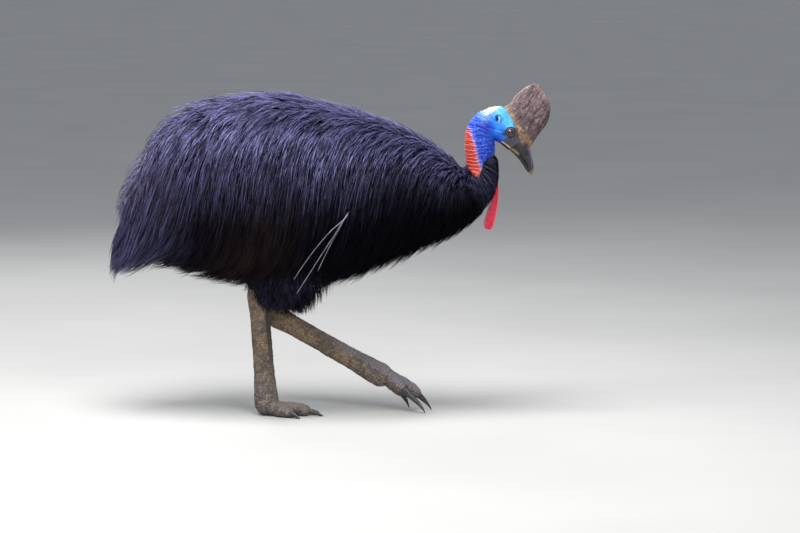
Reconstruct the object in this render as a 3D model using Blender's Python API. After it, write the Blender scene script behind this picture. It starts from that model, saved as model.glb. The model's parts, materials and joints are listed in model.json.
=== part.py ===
"""A life-size southern cassowary, walking with its head lowered.

Metres, +Z up. The bird faces +X and its left side is +Y. The floor is Z = 0, and the origin
is on the floor under the middle of the whole bird.
"""

import math
import random

import bmesh
import bpy
import numpy as np
from mathutils import Matrix, Vector
from mathutils.bvhtree import BVHTree

GAP = 0.0003
CLEARANCE = 0.0005
STRAIGHT = math.radians(6)
TOUCHING = 0.0000005

# The trunk from the tips of the tail to the top of the neck, as rings square to a bending spine.
# Each ring: x, z and tilt of the spine in degrees, the core's reach to the back, the belly and each
# side, then how far the tips of the plumage stand out past the back, the belly and the sides.
TRUNK = np.array([
    (-0.641, 0.515, 0, 0.010, 0.010, 0.010, 0.065, 0.065, 0.020),
    (-0.625, 0.550, 0, 0.012, 0.012, 0.012, 0.114, 0.114, 0.076),
    (-0.595, 0.592, 0, 0.016, 0.016, 0.014, 0.140, 0.155, 0.105),
    (-0.545, 0.645, 0, 0.034, 0.034, 0.028, 0.131, 0.166, 0.117),
    (-0.515, 0.655, 0, 0.088, 0.083, 0.068, 0.107, 0.120, 0.087),
    (-0.455, 0.668, 0, 0.160, 0.143, 0.130, 0.078, 0.085, 0.057),
    (-0.371, 0.680, 0, 0.205, 0.188, 0.168, 0.053, 0.074, 0.038),
    (-0.261, 0.690, 0, 0.224, 0.222, 0.196, 0.039, 0.073, 0.038),
    (-0.141, 0.690, 0, 0.230, 0.232, 0.203, 0.036, 0.060, 0.037),
    (-0.021, 0.685, 0, 0.213, 0.225, 0.193, 0.035, 0.062, 0.037),
    (0.099, 0.675, -3, 0.190, 0.195, 0.163, 0.035, 0.060, 0.037),
    (0.209, 0.665, -5, 0.157, 0.155, 0.125, 0.034, 0.046, 0.031),
    (0.299, 0.655, -5, 0.118, 0.115, 0.098, 0.034, 0.037, 0.025),
    (0.364, 0.650, 5, 0.088, 0.088, 0.078, 0.030, 0.026, 0.021),
    (0.410, 0.657, 27, 0.066, 0.057, 0.059, 0.042, 0.017, 0.018),
    (0.437, 0.683, 58, 0.052, 0.041, 0.047, 0.020, 0.012, 0.013),
    (0.446, 0.718, 82, 0.045, 0.036, 0.040, 0.007, 0.009, 0.009),
    (0.444, 0.757, 93, 0.045, 0.039, 0.040, 0.003, 0.005, 0.005),
    (0.440, 0.797, 95, 0.044, 0.043, 0.041, 0, 0, 0),
    (0.441, 0.831, 82, 0.042, 0.042, 0.039, 0, 0, 0),
    (0.457, 0.858, 47, 0.040, 0.043, 0.038, 0, 0, 0),
    (0.485, 0.874, 15, 0.036, 0.040, 0.036, 0, 0, 0),
])
TAIL_ROOT, RUMP, CHEST, RUFF, NAPE, CROWN = 3.0, 5.6, 11.6, 16.5, 19.0, 21.0
HAUNCH_FULLNESS = 0.10
NECK_FOLDS = 6
FOLD_HEIGHT = 0.0016
DROOP = 0.20
SINK = 0.011

# The plumage along the trunk and on the drumsticks: ring, how far apart the locks root, how long,
# wide and thick they are.
PLUMAGE = np.array([
    (3.0, 0.088, 0.135, 0.080, 0.0080),
    (5.6, 0.098, 0.205, 0.092, 0.0085),
    (8.5, 0.106, 0.215, 0.102, 0.0085),
    (11.6, 0.084, 0.165, 0.082, 0.0075),
    (14.0, 0.062, 0.110, 0.058, 0.0060),
    (16.5, 0.048, 0.068, 0.046, 0.0045),
])
LEG_PLUMAGE = np.array([
    (0.0, 0.085, 0.130, 0.078, 0.0060),
    (4.0, 0.062, 0.105, 0.056, 0.0050),
])
# Along a lock: place, share of its width, share of its thickness. It then ends in a point.
LOCK_RINGS = [(0.0, 0.80, 1.0), (0.35, 1.0, 1.0), (0.72, 0.80, 0.70)]
TIP_TUCK = 0.22
# What is tried in turn where a lock would cross a neighbour: length, height, how fast it rises.
LOCK_TRIES = [(1, 1, 1.7), (1, 1, 2.6), (0.95, 1, 4), (0.85, 0.9, 2), (0.70, 0.75, 2.5), (0.55, 0.55, 3)]
LAST_KEY = 0.3
LOCK_STEPS = 20
LOCK_WAVER = 0.14
LOCK_CLEARANCE = 0.0008
SIDES = 20
LIMB_SIDES = 10
SEED = 11
PLUME_TRIES = 8

# The drumstick: share of the way from knee to cuff, half depth, half width, depth of its plumage.
DRUMSTICK = np.array([
    (0.00, 0.088, 0.066, 0.020),
    (0.35, 0.082, 0.060, 0.022),
    (0.65, 0.062, 0.048, 0.026),
    (0.88, 0.040, 0.035, 0.025),
    (1.00, 0.028, 0.026, 0.022),
    (1.14, 0.020, 0.020, 0.026),
    (1.30, 0.014, 0.014, 0.026),
])
DRUMSTICK_END = 4.0

# The head in its own frame: forward along the bill and up through the casque, from between the eyes.
EYE = Vector((0.528, 0.0, 0.836))
BOW = math.radians(56.7)
EYE_OUT, EYE_RADIUS = 0.0240, 0.0125
LID_RADIUS, LID_THICKNESS = 0.0115, 0.0026
# Places on the head: forward, aside, up.
EAR = (-0.051, 0.0365, -0.0075)
EAR_RADIUS = 0.0065
NOSTRIL = (0.086, 0.0105, 0.004)
# Each ring of the head, the bill and the lower bill: forward, top, bottom, half width.
SKULL = [
    (-0.096, -0.006, -0.034, 0.012),
    (-0.090, 0.012, -0.050, 0.025),
    (-0.076, 0.022, -0.056, 0.033),
    (-0.050, 0.030, -0.053, 0.037),
    (-0.022, 0.030, -0.046, 0.036),
    (0.003, 0.026, -0.038, 0.0325),
    (0.022, 0.021, -0.030, 0.026),
    (0.036, 0.018, -0.0265, 0.0215),
]
BILL = [
    (0.0363, 0.0240, -0.0165, 0.0200),
    (0.055, 0.0290, -0.0145, 0.0175),
    (0.070, 0.0285, -0.0130, 0.0150),
    (0.090, 0.0190, -0.0120, 0.0122),
    (0.115, 0.0070, -0.0125, 0.0092),
    (0.132, -0.0030, -0.0155, 0.0062),
    (0.1415, -0.0110, -0.0175, 0.0028),
]
LOWER_BILL = [
    (0.0363, -0.0180, -0.0258, 0.0175),
    (0.055, -0.0158, -0.0230, 0.0150),
    (0.075, -0.0140, -0.0210, 0.0125),
    (0.098, -0.0132, -0.0198, 0.0095),
    (0.118, -0.0140, -0.0200, 0.0062),
    (0.128, -0.0165, -0.0200, 0.0028),
]
# Each level of the casque: up, back edge, front edge, half width.
CASQUE = [
    (0.012, -0.070, 0.070, 0.0200),
    (0.030, -0.0685, 0.0690, 0.0195),
    (0.050, -0.0700, 0.0600, 0.0180),
    (0.075, -0.0795, 0.0500, 0.0160),
    (0.100, -0.0825, 0.0415, 0.0135),
    (0.120, -0.0815, 0.0270, 0.0105),
    (0.136, -0.0790, 0.0080, 0.0070),
    (0.1455, -0.0700, -0.0080, 0.0035),
]

# The legs, right and left. The bird stands on the right foot and reaches forward with the left.
KNEE = {"right": Vector((-0.005, -0.125, 0.660)), "left": Vector((-0.030, 0.125, 0.620))}
HOCK = {"right": Vector((-0.221, -0.062, 0.365)), "left": Vector((-0.163, 0.068, 0.285))}
BALL = {"right": Vector((-0.191, -0.018, 0.032)), "left": Vector((0.150, 0.058, 0.112))}
HEEL_LIFT = {"right": 0.0, "left": 0.080}
HEADING = {"right": -10, "left": 6}
OUTWARD = {"right": -1, "left": 1}
HOCK_CUFF = 0.040
# Each toe: turn outward from the middle of the foot in degrees, length, length of its claw.
TOES = {"inner": (-26, 0.078, 0.082), "middle": (0, 0.125, 0.045), "outer": (30, 0.095, 0.035)}

# The bare quills of each wing: where the tip is, and how far it sags back on the way.
QUILLS = [(-0.099, 0.401, 0.010), (-0.091, 0.358, 0.000), (-0.030, 0.430, 0.004)]
QUILL_FREE = 0.50


def smooth(table, key):
    """A row of the table at a fractional index, on a smooth curve through its rows."""
    slopes = np.gradient(table, axis=0)
    index = int(np.clip(math.floor(key), 0, len(table) - 2))
    t = key - index
    rise = t * t * (3 - 2 * t)
    leave = t * (1 - t) ** 2
    arrive = t * t * (t - 1)
    return (table[index] * (1 - rise) + table[index + 1] * rise
            + slopes[index] * leave + slopes[index + 1] * arrive)


def trunk_frame(key):
    """The spine's point, the way forward along it and the way to the back, at a fractional ring."""
    x, z, tilt = smooth(TRUNK, key)[:3]
    angle = math.radians(tilt)
    return (Vector((x, 0, z)), Vector((math.cos(angle), 0, math.sin(angle))),
            Vector((-math.sin(angle), 0, math.cos(angle))))


def trunk_point(key, turn, coat=0.0):
    """A point of the trunk. Turn runs from 0 at the back to half a turn at the belly, to the right
    where it is positive. Coat is the share of the plumage's depth that is added, and below 0 it
    goes into the core. The tips of the plumage hang fuller than the core below its widest."""
    centre, _, up = trunk_frame(key)
    dorsal, ventral, half, out_dorsal, out_ventral, out_side = smooth(TRUNK, key)[3:]
    tall, wide = math.cos(turn), math.sin(turn)
    if tall < 0:
        power = 1 - DROOP * min(max(coat, 0), 1)
        tall = -abs(tall) ** power
        wide = math.copysign(abs(wide) ** power, wide)
    out = max(coat, 0)
    sunk = min(coat, 0) * SINK
    reach = dorsal + out * out_dorsal if tall > 0 else ventral + out * out_ventral
    side = (half + out * out_side + sunk) * wide * (1 - HAUNCH_FULLNESS * tall)
    return centre + up * ((reach + sunk) * tall) + Vector((0, -side, 0))


def finish(name, colour, roughness):
    """A plain material, made once."""
    made = bpy.data.materials.get(name)
    if made is None:
        made = bpy.data.materials.new(name)
        made.use_nodes = True
        shader = made.node_tree.nodes["Principled BSDF"]
        shader.inputs["Base Color"].default_value = (*colour, 1)
        shader.inputs["Roughness"].default_value = roughness
    return made


def feather():
    return finish("feather", (0.012, 0.010, 0.020), 0.5)


def quill():
    return finish("quill", (0.30, 0.28, 0.33), 0.4)


def blue_skin():
    return finish("blue_skin", (0.03, 0.16, 0.65), 0.5)


def red_skin():
    return finish("red_skin", (0.65, 0.06, 0.07), 0.5)


def horn():
    return finish("horn", (0.20, 0.13, 0.11), 0.45)


def dark_horn():
    return finish("dark_horn", (0.035, 0.030, 0.035), 0.4)


def leg_skin():
    return finish("leg_skin", (0.16, 0.12, 0.10), 0.6)


def eye_glass():
    return finish("eye", (0.10, 0.015, 0.008), 0.08)


def add_mesh(name, points, faces, look, into):
    """A mesh object from points and faces, turned so that its faces point out."""
    made = bmesh.new()
    corners = [made.verts.new(p) for p in points]
    for face in faces:
        made.faces.new([corners[i] for i in face])
    bmesh.ops.recalc_face_normals(made, faces=made.faces)
    mesh = bpy.data.meshes.new(name)
    made.to_mesh(mesh)
    made.free()
    thing = bpy.data.objects.new(name, mesh)
    thing.data.materials.append(look)
    into.objects.link(thing)
    return thing


def loft(name, rings, look, into):
    """A closed solid through rings of equally many points, with flat ends."""
    count = len(rings[0])
    points = [p for ring in rings for p in ring]
    faces = [tuple(range(count)), tuple(range((len(rings) - 1) * count, len(rings) * count))]
    for start in range(0, (len(rings) - 1) * count, count):
        for i in range(count):
            a, b = start + i, start + (i + 1) % count
            faces.append((a, b, b + count, a + count))
    return add_mesh(name, points, faces, look, into)


def trunk_rings(start, end, steps, sides, coat=0.0):
    """Rings of the trunk between two fractional indices. The last is drawn back by the gap."""
    rings = []
    for key in np.linspace(start, end, steps + 1):
        rings.append([trunk_point(key, 2 * math.pi * i / sides, coat) for i in range(sides)])
    _, forward, _ = trunk_frame(end)
    rings[-1] = [p - forward * GAP for p in rings[-1]]
    return rings


def tube_rings(path, sides, level):
    """Oval rings square to a path. Each row of the path: point, half depth, half width."""
    rings = []
    points = [row[0] for row in path]
    for i, (point, depth, width) in enumerate(path):
        along = (points[min(i + 1, len(points) - 1)] - points[max(i - 1, 0)]).normalized()
        across = (level - along * level.dot(along)).normalized()
        up = across.cross(along)
        rings.append([
            point + across * (width * math.cos(a)) + up * (depth * math.sin(a))
            for a in (2 * math.pi * s / sides for s in range(sides))
        ])
    return rings


def limb(name, rows, steps, sides, look, into, level=Vector((0, 1, 0)), plates=None):
    """A closed tube on a smooth path. Each row: place, half depth, half width. Plates says from
    which key to which, how many raised scutes there are, how high, and which side they face."""
    table = np.array([(*row[0], *row[1:]) for row in rows], dtype=float)
    keys = list(np.linspace(0, len(rows) - 1, steps + 1))
    lifts = {}
    if plates:
        start, end, count, height, facing = plates
        keys = [key for key in keys if not start - 0.1 < key < end + 0.1]
        edges = np.linspace(start, end, count + 1)
        for first, second in zip(edges, edges[1:]):
            lifts[first + 0.02] = height
            lifts[second - (second - first) * 0.12] = 0
        keys = sorted(keys + list(lifts))
    path = []
    for key in keys:
        x, y, z, depth, width = smooth(table, key)
        path.append((Vector((x, y, z)), depth, width))
    rings = tube_rings(path, sides, level)
    for key, (centre, depth, _), ring in zip(keys, path, rings):
        if lifts.get(key):
            top = (ring[0] - centre).cross(ring[sides // 4] - centre).normalized()
            up = top.cross((ring[0] - centre).normalized()) * facing
            for i, corner in enumerate(ring):
                share = max(0, (corner - centre).normalized().dot(up) - 0.25) / 0.75
                ring[i] = corner + (corner - centre).normalized() * lifts[key] * min(1, share * 2)
    return loft(name, rings, look, into)


def ball(name, centre, radii, look, into, segments=16, rings=10):
    """A closed ball or egg, level with the world."""
    bpy.ops.mesh.primitive_uv_sphere_add(segments=segments, ring_count=rings, radius=1)
    thing = bpy.context.object
    thing.name = name
    for vertex in thing.data.vertices:
        vertex.co = Vector(centre) + Vector([a * b for a, b in zip(vertex.co, radii)])
    thing.data.materials.append(look)
    move_to(thing, into)
    return thing


def combine(thing, operation, others):
    """Joins the other objects to the first or cuts them from it, and leaves them in place. The
    exact solver goes first, and the manifold one takes over where it leaves no closed solid."""
    for solver in ("EXACT", "MANIFOLD"):
        for other in others:
            modifier = thing.modifiers.new("combine", "BOOLEAN")
            modifier.operation = operation
            modifier.object = other
            modifier.solver = solver
        bpy.context.view_layer.update()
        graph = bpy.context.evaluated_depsgraph_get()
        mesh = bpy.data.meshes.new_from_object(thing.evaluated_get(graph))
        thing.modifiers.clear()
        if is_solid(mesh):
            break
    thing.data = mesh
    keep_largest(thing)


def is_solid(mesh):
    """Whether a mesh is closed, holds anything and nowhere touches itself."""
    made = bmesh.new()
    made.from_mesh(mesh)
    closed = len(made.faces) > 3 and all(edge.is_manifold for edge in made.edges)
    bmesh.ops.remove_doubles(made, verts=made.verts, dist=TOUCHING)
    closed = closed and all(edge.is_manifold for edge in made.edges)
    made.free()
    return closed


def keep_largest(thing):
    """Turns a union or a cut into plain triangles, and deletes all but its largest closed surface."""
    made = bmesh.new()
    made.from_mesh(thing.data)
    straight = [vertex for vertex in made.verts if len(vertex.link_edges) == 2 and bend(vertex) < STRAIGHT]
    bmesh.ops.dissolve_verts(made, verts=straight)
    bmesh.ops.triangulate(made, faces=made.faces)
    left = set(made.verts)
    pieces = []
    while left:
        piece, front = set(), [left.pop()]
        while front:
            vertex = front.pop()
            piece.add(vertex)
            for edge in vertex.link_edges:
                other = edge.other_vert(vertex)
                if other in left:
                    left.remove(other)
                    front.append(other)
        pieces.append(piece)
    if len(pieces) > 1:
        pieces.sort(key=enclosed)
        bmesh.ops.delete(made, geom=[v for piece in pieces[:-1] for v in piece], context="VERTS")
    made.to_mesh(thing.data)
    made.free()


def bend(vertex):
    """The angle between the two edges that meet at a vertex."""
    first, second = (edge.other_vert(vertex).co for edge in vertex.link_edges)
    return (vertex.co - first).angle(second - vertex.co, 0)


def enclosed(piece):
    """The volume inside a surface of triangles, from its vertices."""
    total = 0.0
    for face in {face for vertex in piece for face in vertex.link_faces}:
        a, b, c = (corner.co for corner in face.verts)
        total += a.dot(b.cross(c)) / 6
    return total


def grown(thing, by, into):
    """A copy of a solid that stands out from it by a small distance, to cut its neighbours clear."""
    made = bmesh.new()
    made.from_mesh(thing.data)
    bmesh.ops.recalc_face_normals(made, faces=made.faces)
    made.normal_update()
    shift = {v: v.normal * by * v.calc_shell_factor() for v in made.verts}
    for vertex, step in shift.items():
        vertex.co += step
    mesh = bpy.data.meshes.new(thing.name + "_room")
    made.to_mesh(mesh)
    made.free()
    copy = bpy.data.objects.new(mesh.name, mesh)
    copy.hide_render = True
    copy.display_type = "WIRE"
    into.objects.link(copy)
    return copy


def cut_clear(thing, neighbours, into):
    """Cuts a solid back so that it meets its neighbours with the gap."""
    rooms = [grown(other, CLEARANCE, into) for other in neighbours]
    combine(thing, "DIFFERENCE", rooms)
    for room in rooms:
        bpy.data.objects.remove(room)


def stand_on_floor(thing, cutters):
    """Cuts off what lies under the floor, which leaves a small flat to stand on."""
    bpy.ops.mesh.primitive_cube_add(size=1)
    ground = bpy.context.object
    for vertex in ground.data.vertices:
        vertex.co = (vertex.co.x * 2, vertex.co.y * 2, vertex.co.z * 0.2 - 0.1)
    move_to(ground, cutters)
    combine(thing, "DIFFERENCE", [ground])
    bpy.data.objects.remove(ground)


def move_to(thing, into):
    """Moves an object to one collection."""
    for holder in list(thing.users_collection):
        holder.objects.unlink(thing)
    into.objects.link(thing)


def on_head(forward, side, up):
    """A point of the head's own frame, in the world."""
    c, s = math.cos(BOW), math.sin(BOW)
    return EYE + Vector((forward * c + up * s, side, up * c - forward * s))


def head_rings(rows, sides):
    """Rings square to the bill, from rows of forward, top, bottom and half width."""
    rings = []
    for forward, top, bottom, half in rows:
        middle, tall = (top + bottom) / 2, (top - bottom) / 2
        rings.append([
            on_head(forward, half * math.cos(a), middle + tall * math.sin(a))
            for a in (2 * math.pi * s / sides for s in range(sides))
        ])
    return rings


def casque_rings(sides):
    """Rings level with the bill, up the tall blade on the head. They come to an edge fore and aft."""
    rings = []
    for up, back, front, half in CASQUE:
        middle, reach = (back + front) / 2, (front - back) / 2
        rings.append([
            on_head(middle + reach * math.cos(a), half * math.sin(a) * abs(math.sin(a)) ** 0.3, up)
            for a in (2 * math.pi * s / sides for s in range(sides))
        ])
    return rings


def sizes_at(table, key):
    """Spacing, length, width and thickness of the plumage at a ring."""
    return [float(np.interp(key, table[:, 0], table[:, column])) for column in range(1, 5)]


def lock_shape(surface, key, turn, lie, size, reach, rise, sway):
    """Points and faces of one flat, tapered lock. It roots in the core at a place of the surface,
    runs along its lie, rises to the tips of the plumage and tucks its own tip in. Surface gives a
    point for a key, a turn and a share of the coat; lie says how much of a step goes each way."""
    length, width, thick = size
    step = 0.01
    stride = length / LOCK_STEPS
    places = []
    path = []
    for count in range(LOCK_STEPS + 1):
        t = count / LOCK_STEPS
        coat = -1 + (1 + reach) * (1 - (1 - t) ** rise) - TIP_TUCK * t * t
        path.append(surface(key, turn, coat))
        if len(path) > 2 and key <= LAST_KEY:
            path[-1] = path[-2] + (path[-2] - path[-3]).lerp(Vector((0, 0, -stride)), 0.15)
        due = len(places) < len(LOCK_RINGS) and t >= LOCK_RINGS[len(places)][0] - 1e-6
        if due or count == LOCK_STEPS:
            places.append((path[-1], surface(key, turn, 1) - surface(key, turn, -1)))
        at = surface(key, turn, 0.6)
        per_key = (surface(key + step, turn, 0.6) - at).length / step
        per_turn = (surface(key, turn + step, 0.6) - at).length / step
        along, around = lie(key, turn, t)
        key = max(LAST_KEY, key + along * stride / max(per_key, 0.02))
        turn += (around + sway * math.sin(math.pi * t)) * stride / max(per_turn, 0.03)
    points, faces = [], [(0, 1, 2)]
    for i, (place, outward) in enumerate(places[:-1]):
        forward = (places[i + 1][0] - places[max(i - 1, 0)][0]).normalized()
        across = forward.cross(outward).normalized()
        normal = across.cross(forward) * thick * LOCK_RINGS[i][2]
        edge = across * (width * LOCK_RINGS[i][1] / 2)
        points += [place - edge - normal * 0.45, place + normal * 0.55, place + edge - normal * 0.45]
    for a in range(0, len(points) - 3, 3):
        for b in range(3):
            c = (b + 1) % 3
            faces += [(a + b, a + c, a + c + 3), (a + b, a + c + 3, a + b + 3)]
    tip, last = len(points), len(points) - 3
    points.append(places[-1][0])
    faces += [(last, last + 1, tip), (last + 1, last + 2, tip), (last + 2, last, tip)]
    return points, faces


def passes_by(points, faces, obstacles):
    """Whether a lock crosses neither itself nor any of the obstacles."""
    tree = BVHTree.FromPolygons([tuple(p) for p in points], faces)
    if any(not set(faces[a]) & set(faces[b]) for a, b in tree.overlap(tree)):
        return False
    return not any(tree.overlap(obstacle) for obstacle in obstacles)


def grow_locks(core, surface, table, roots, lie, obstacles, holder, seed):
    """Sets one lock at each root, shortened and pressed down, or left out, where a neighbour is near."""
    draw = random.Random(seed)
    grown_locks = []
    for key, turn in roots:
        _, length, width, thick = sizes_at(table, key)
        scale = draw.uniform(0.88, 1.12)
        reach = draw.uniform(0.96, 1.04)
        sway = draw.uniform(-LOCK_WAVER, LOCK_WAVER)
        for shorter, lower, rise in LOCK_TRIES:
            size = (length * scale * shorter, width * draw.uniform(0.92, 1.08), thick)
            points, faces = lock_shape(surface, key, turn, lie, size, reach * lower, rise, sway)
            if passes_by(points, faces, obstacles):
                add_mesh("lock", points, faces, core.data.materials[0], holder)
                grown_locks.append(BVHTree.FromPolygons([tuple(p) for p in points], faces))
                break
    return grown_locks


def plume(core, surface, table, roots, lie, obstacles, cutters):
    """Covers a core with locks, all joined to it by one union. Where the union leaves no closed
    solid, the locks are drawn afresh."""
    bare = core.data
    for attempt in range(PLUME_TRIES):
        core.data = bare
        holder = bpy.data.collections.new(core.name + "_locks")
        cutters.children.link(holder)
        grown_locks = grow_locks(core, surface, table, roots, lie, obstacles, holder, SEED + attempt)
        modifier = core.modifiers.new("locks", "BOOLEAN")
        modifier.operation = "UNION"
        modifier.operand_type = "COLLECTION"
        modifier.collection = holder
        modifier.solver = "MANIFOLD"
        bpy.context.view_layer.update()
        graph = bpy.context.evaluated_depsgraph_get()
        mesh = bpy.data.meshes.new_from_object(core.evaluated_get(graph))
        core.modifiers.clear()
        core.data = mesh
        for lock in list(holder.objects):
            bpy.data.objects.remove(lock)
        bpy.data.collections.remove(holder)
        keep_largest(core)
        if is_solid(core.data):
            break
    return grown_locks


def staggered(surface, table, start, end, edge=0.42):
    """Staggered places on a surface between two keys, as far apart as the plumage's spacing there.
    The first and last row stay the edge's share of a lock's width away from the ends."""
    def pace(key):
        return max((surface(key + 0.05, turn) - surface(key - 0.05, turn)).length / 0.1
                   for turn in (0, math.pi / 2, math.pi))

    first = start + edge * sizes_at(table, start)[2] / pace(start + 0.1)
    last = end - edge * sizes_at(table, end)[2] / pace(end - 0.1)
    fine = np.linspace(first, last, 60)
    rows_passed = np.cumsum([pace(key) * (fine[1] - fine[0]) / (0.87 * sizes_at(table, key)[0]) for key in fine])
    count_rows = max(2, round(rows_passed[-1]) + 1)
    places = []
    for row, passed in enumerate(np.linspace(0, rows_passed[-1], count_rows)):
        key = float(np.interp(passed, rows_passed, fine))
        ring = [surface(key, math.tau * i / 48) for i in range(49)]
        girth = sum((b - a).length for a, b in zip(ring, ring[1:]))
        count = max(4, round(girth / sizes_at(table, key)[0]))
        places += [(key, math.tau * (i + 0.5 * (row % 2)) / count - math.pi) for i in range(count)]
    return places


def trunk_lie(key, turn, t):
    """How plumage lies on the trunk: back along the spine above and below, and down the flanks."""
    flank = math.sin(turn) ** 2
    sides = 0.34 + 0.30 * min(1, max(0, (7.5 - key) / 2.5)) + 0.22 * min(1, max(0, key - CHEST + 1))
    back = 1 - (1 - sides) * flank
    down = math.sqrt(max(0, 1 - back * back)) * (1 if abs(turn) < 2.5 else 0.4)
    return -back, math.copysign(down * (0.75 + 0.5 * t), turn)


def drumstick_surface(side):
    """A surface like the trunk's, from the knee down to past the cuff."""
    knee, cuff = KNEE[side], cuff_point(side)
    down = (cuff - knee).normalized()
    front = (Vector((1, 0, 0)) - down * down.x).normalized()
    right = front.cross(down)

    def point(key, turn, coat=0.0):
        share, depth, width, out = smooth(DRUMSTICK, min(key, len(DRUMSTICK) - 1.01))
        more = max(coat, 0) * out * (1 + 0.6 * max(0, math.cos(turn))) + min(coat, 0) * SINK * 0.6
        return (knee.lerp(cuff, share) + front * ((depth + more) * math.cos(turn))
                + right * ((width + more) * math.sin(turn)))

    return point


def drumstick_lie(key, turn, t):
    """Plumage on the drumstick lies straight down the leg."""
    return 1, 0


def cuff_point(side):
    """Where the feathered leg ends, above the hock."""
    return HOCK[side] + (KNEE[side] - HOCK[side]).normalized() * HOCK_CUFF


def build_trunk(bird):
    """The cores of the tail, torso and feathered neck base, and the bare neck, parted by thin cuts."""
    return [
        loft("tail", trunk_rings(TAIL_ROOT, RUMP, 4, SIDES), feather(), bird),
        loft("torso", trunk_rings(RUMP, CHEST, 9, SIDES), feather(), bird),
        loft("neck_base", trunk_rings(CHEST, RUFF, 8, 16), feather(), bird),
        folded_neck(bird),
    ]


def folded_neck(bird):
    """The bare neck, with rings of skin folds raised in its surface."""
    rings = trunk_rings(RUFF, NAPE, 2 * NECK_FOLDS, 16)
    for count in range(1, len(rings) - 1, 2):
        centre = sum(rings[count], Vector()) / len(rings[count])
        rings[count] = [p + (p - centre).normalized() * FOLD_HEIGHT for p in rings[count]]
    return loft("neck", rings, blue_skin(), bird)


def head_ring(place, normal, radius, thick, cutters, segments=12):
    """A ring of raised skin on the head, square to a direction."""
    bpy.ops.mesh.primitive_torus_add(major_segments=segments, minor_segments=4, major_radius=radius,
                                     minor_radius=thick)
    ring = bpy.context.object
    turn = Vector((0, 0, 1)).rotation_difference(normal).to_matrix()
    for vertex in ring.data.vertices:
        vertex.co = place + turn @ vertex.co
    move_to(ring, cutters)
    return ring


def build_head(bird, cutters):
    """The head with its eyes, lids, ears, casque and bill."""
    head = loft("head", head_rings(SKULL, 14), blue_skin(), bird)
    added = [loft("nape", trunk_rings(NAPE, CROWN, 4, 14), blue_skin(), cutters)]
    eyes, pits = [], []
    for name, side in (("right", -1), ("left", 1)):
        aside = Vector((0, side, 0))
        eyes.append(ball("eye_" + name, on_head(0, side * EYE_OUT, 0), (EYE_RADIUS,) * 3, eye_glass(), bird, 10, 7))
        added.append(head_ring(on_head(0, side * 0.0325, 0), aside, LID_RADIUS, LID_THICKNESS, cutters))
        ear = on_head(EAR[0], side * EAR[1], EAR[2])
        added.append(head_ring(ear, aside, EAR_RADIUS, 0.0018, cutters, 8))
        pits.append(ball("ear", ear, (EAR_RADIUS * 0.75, 0.007, EAR_RADIUS * 0.85), blue_skin(), cutters, 7, 5))
    combine(head, "UNION", added)
    combine(head, "DIFFERENCE", pits)
    cut_clear(head, eyes, cutters)
    bill = loft("bill_upper", head_rings(BILL, 12), dark_horn(), bird)
    lower = loft("bill_lower", head_rings(LOWER_BILL, 10), dark_horn(), bird)
    nostrils = [ball("nostril", on_head(NOSTRIL[0], side * NOSTRIL[1], NOSTRIL[2]), (0.007, 0.0035, 0.0022),
                     dark_horn(), cutters, 6, 5) for side in (-1, 1)]
    for nostril in nostrils:
        centre = sum((v.co for v in nostril.data.vertices), Vector()) / len(nostril.data.vertices)
        turn = Matrix.Rotation(BOW, 3, "Y")
        for vertex in nostril.data.vertices:
            vertex.co = centre + turn @ (vertex.co - centre)
    combine(bill, "DIFFERENCE", nostrils)
    cut_clear(bill, [head], cutters)
    cut_clear(lower, [head, bill], cutters)
    casque = loft("casque", casque_rings(18), horn(), bird)
    cut_clear(casque, [head, bill], cutters)
    for tool in (*added, *pits, *nostrils):
        bpy.data.objects.remove(tool)


def build_wattles(bird, cutters, neck_base):
    """The two long folds that hang from the front of the neck."""
    for name, side in (("wattle_right", -1), ("wattle_left", 1)):
        top = Vector((0.487, side * 0.012, 0.700))
        rows = [
            (top, 0.007, 0.004),
            (top + Vector((0.000, 0, -0.045)), 0.010, 0.0045),
            (top + Vector((-0.006, side * 0.003, -0.090)), 0.014, 0.0055),
            (top + Vector((-0.014, side * 0.004, -0.125)), 0.0165, 0.0065),
            (top + Vector((-0.020, side * 0.004, -0.145)), 0.0155, 0.0060),
            (top + Vector((-0.022, side * 0.004, -0.153)), 0.0070, 0.0030),
        ]
        wattle = limb(name, rows, 8, LIMB_SIDES, red_skin(), bird)
        cut_clear(wattle, [neck_base], cutters)


def build_thigh(side, bird, cutters, torso, shank):
    """The drumstick from the knee, inside the body, down to the cuff above the hock."""
    surface = drumstick_surface(side)
    rings = [[surface(key, -math.tau * i / 14) for i in range(14)] for key in np.linspace(0, DRUMSTICK_END, 7)]
    back = (KNEE[side] - cuff_point(side)).normalized() * GAP
    rings[-1] = [p + back for p in rings[-1]]
    thigh = loft("thigh_" + side, rings, feather(), bird)
    cut_clear(thigh, [torso, shank], cutters)
    return thigh


def build_shank(side, bird, cutters):
    """The bare leg from the cuff round the hock and down to the ball of the foot."""
    hock, foot = HOCK[side], BALL[side]
    cuff = cuff_point(side)
    sole = foot + (hock - foot).normalized() * -0.020
    rows = [
        (cuff, 0.027, 0.024),
        (cuff.lerp(hock, 0.35), 0.028, 0.025),
        (hock + (hock - foot).normalized() * 0.004, 0.031, 0.027),
        (hock.lerp(foot, 0.07), 0.031, 0.027),
        (hock.lerp(foot, 0.20), 0.027, 0.023),
        (hock.lerp(foot, 0.45), 0.0265, 0.022),
        (hock.lerp(foot, 0.70), 0.0285, 0.024),
        (hock.lerp(foot, 0.88), 0.034, 0.030),
        (foot, 0.037, 0.036),
        (sole, 0.028, 0.028),
        (sole + (hock - foot).normalized() * -0.012, 0.012, 0.012),
    ]
    shank = limb("shank_" + side, rows, 11, LIMB_SIDES, leg_skin(), bird, plates=(3.2, 7.4, 8, 0.0018, -1))
    stand_on_floor(shank, cutters)
    return shank


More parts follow.
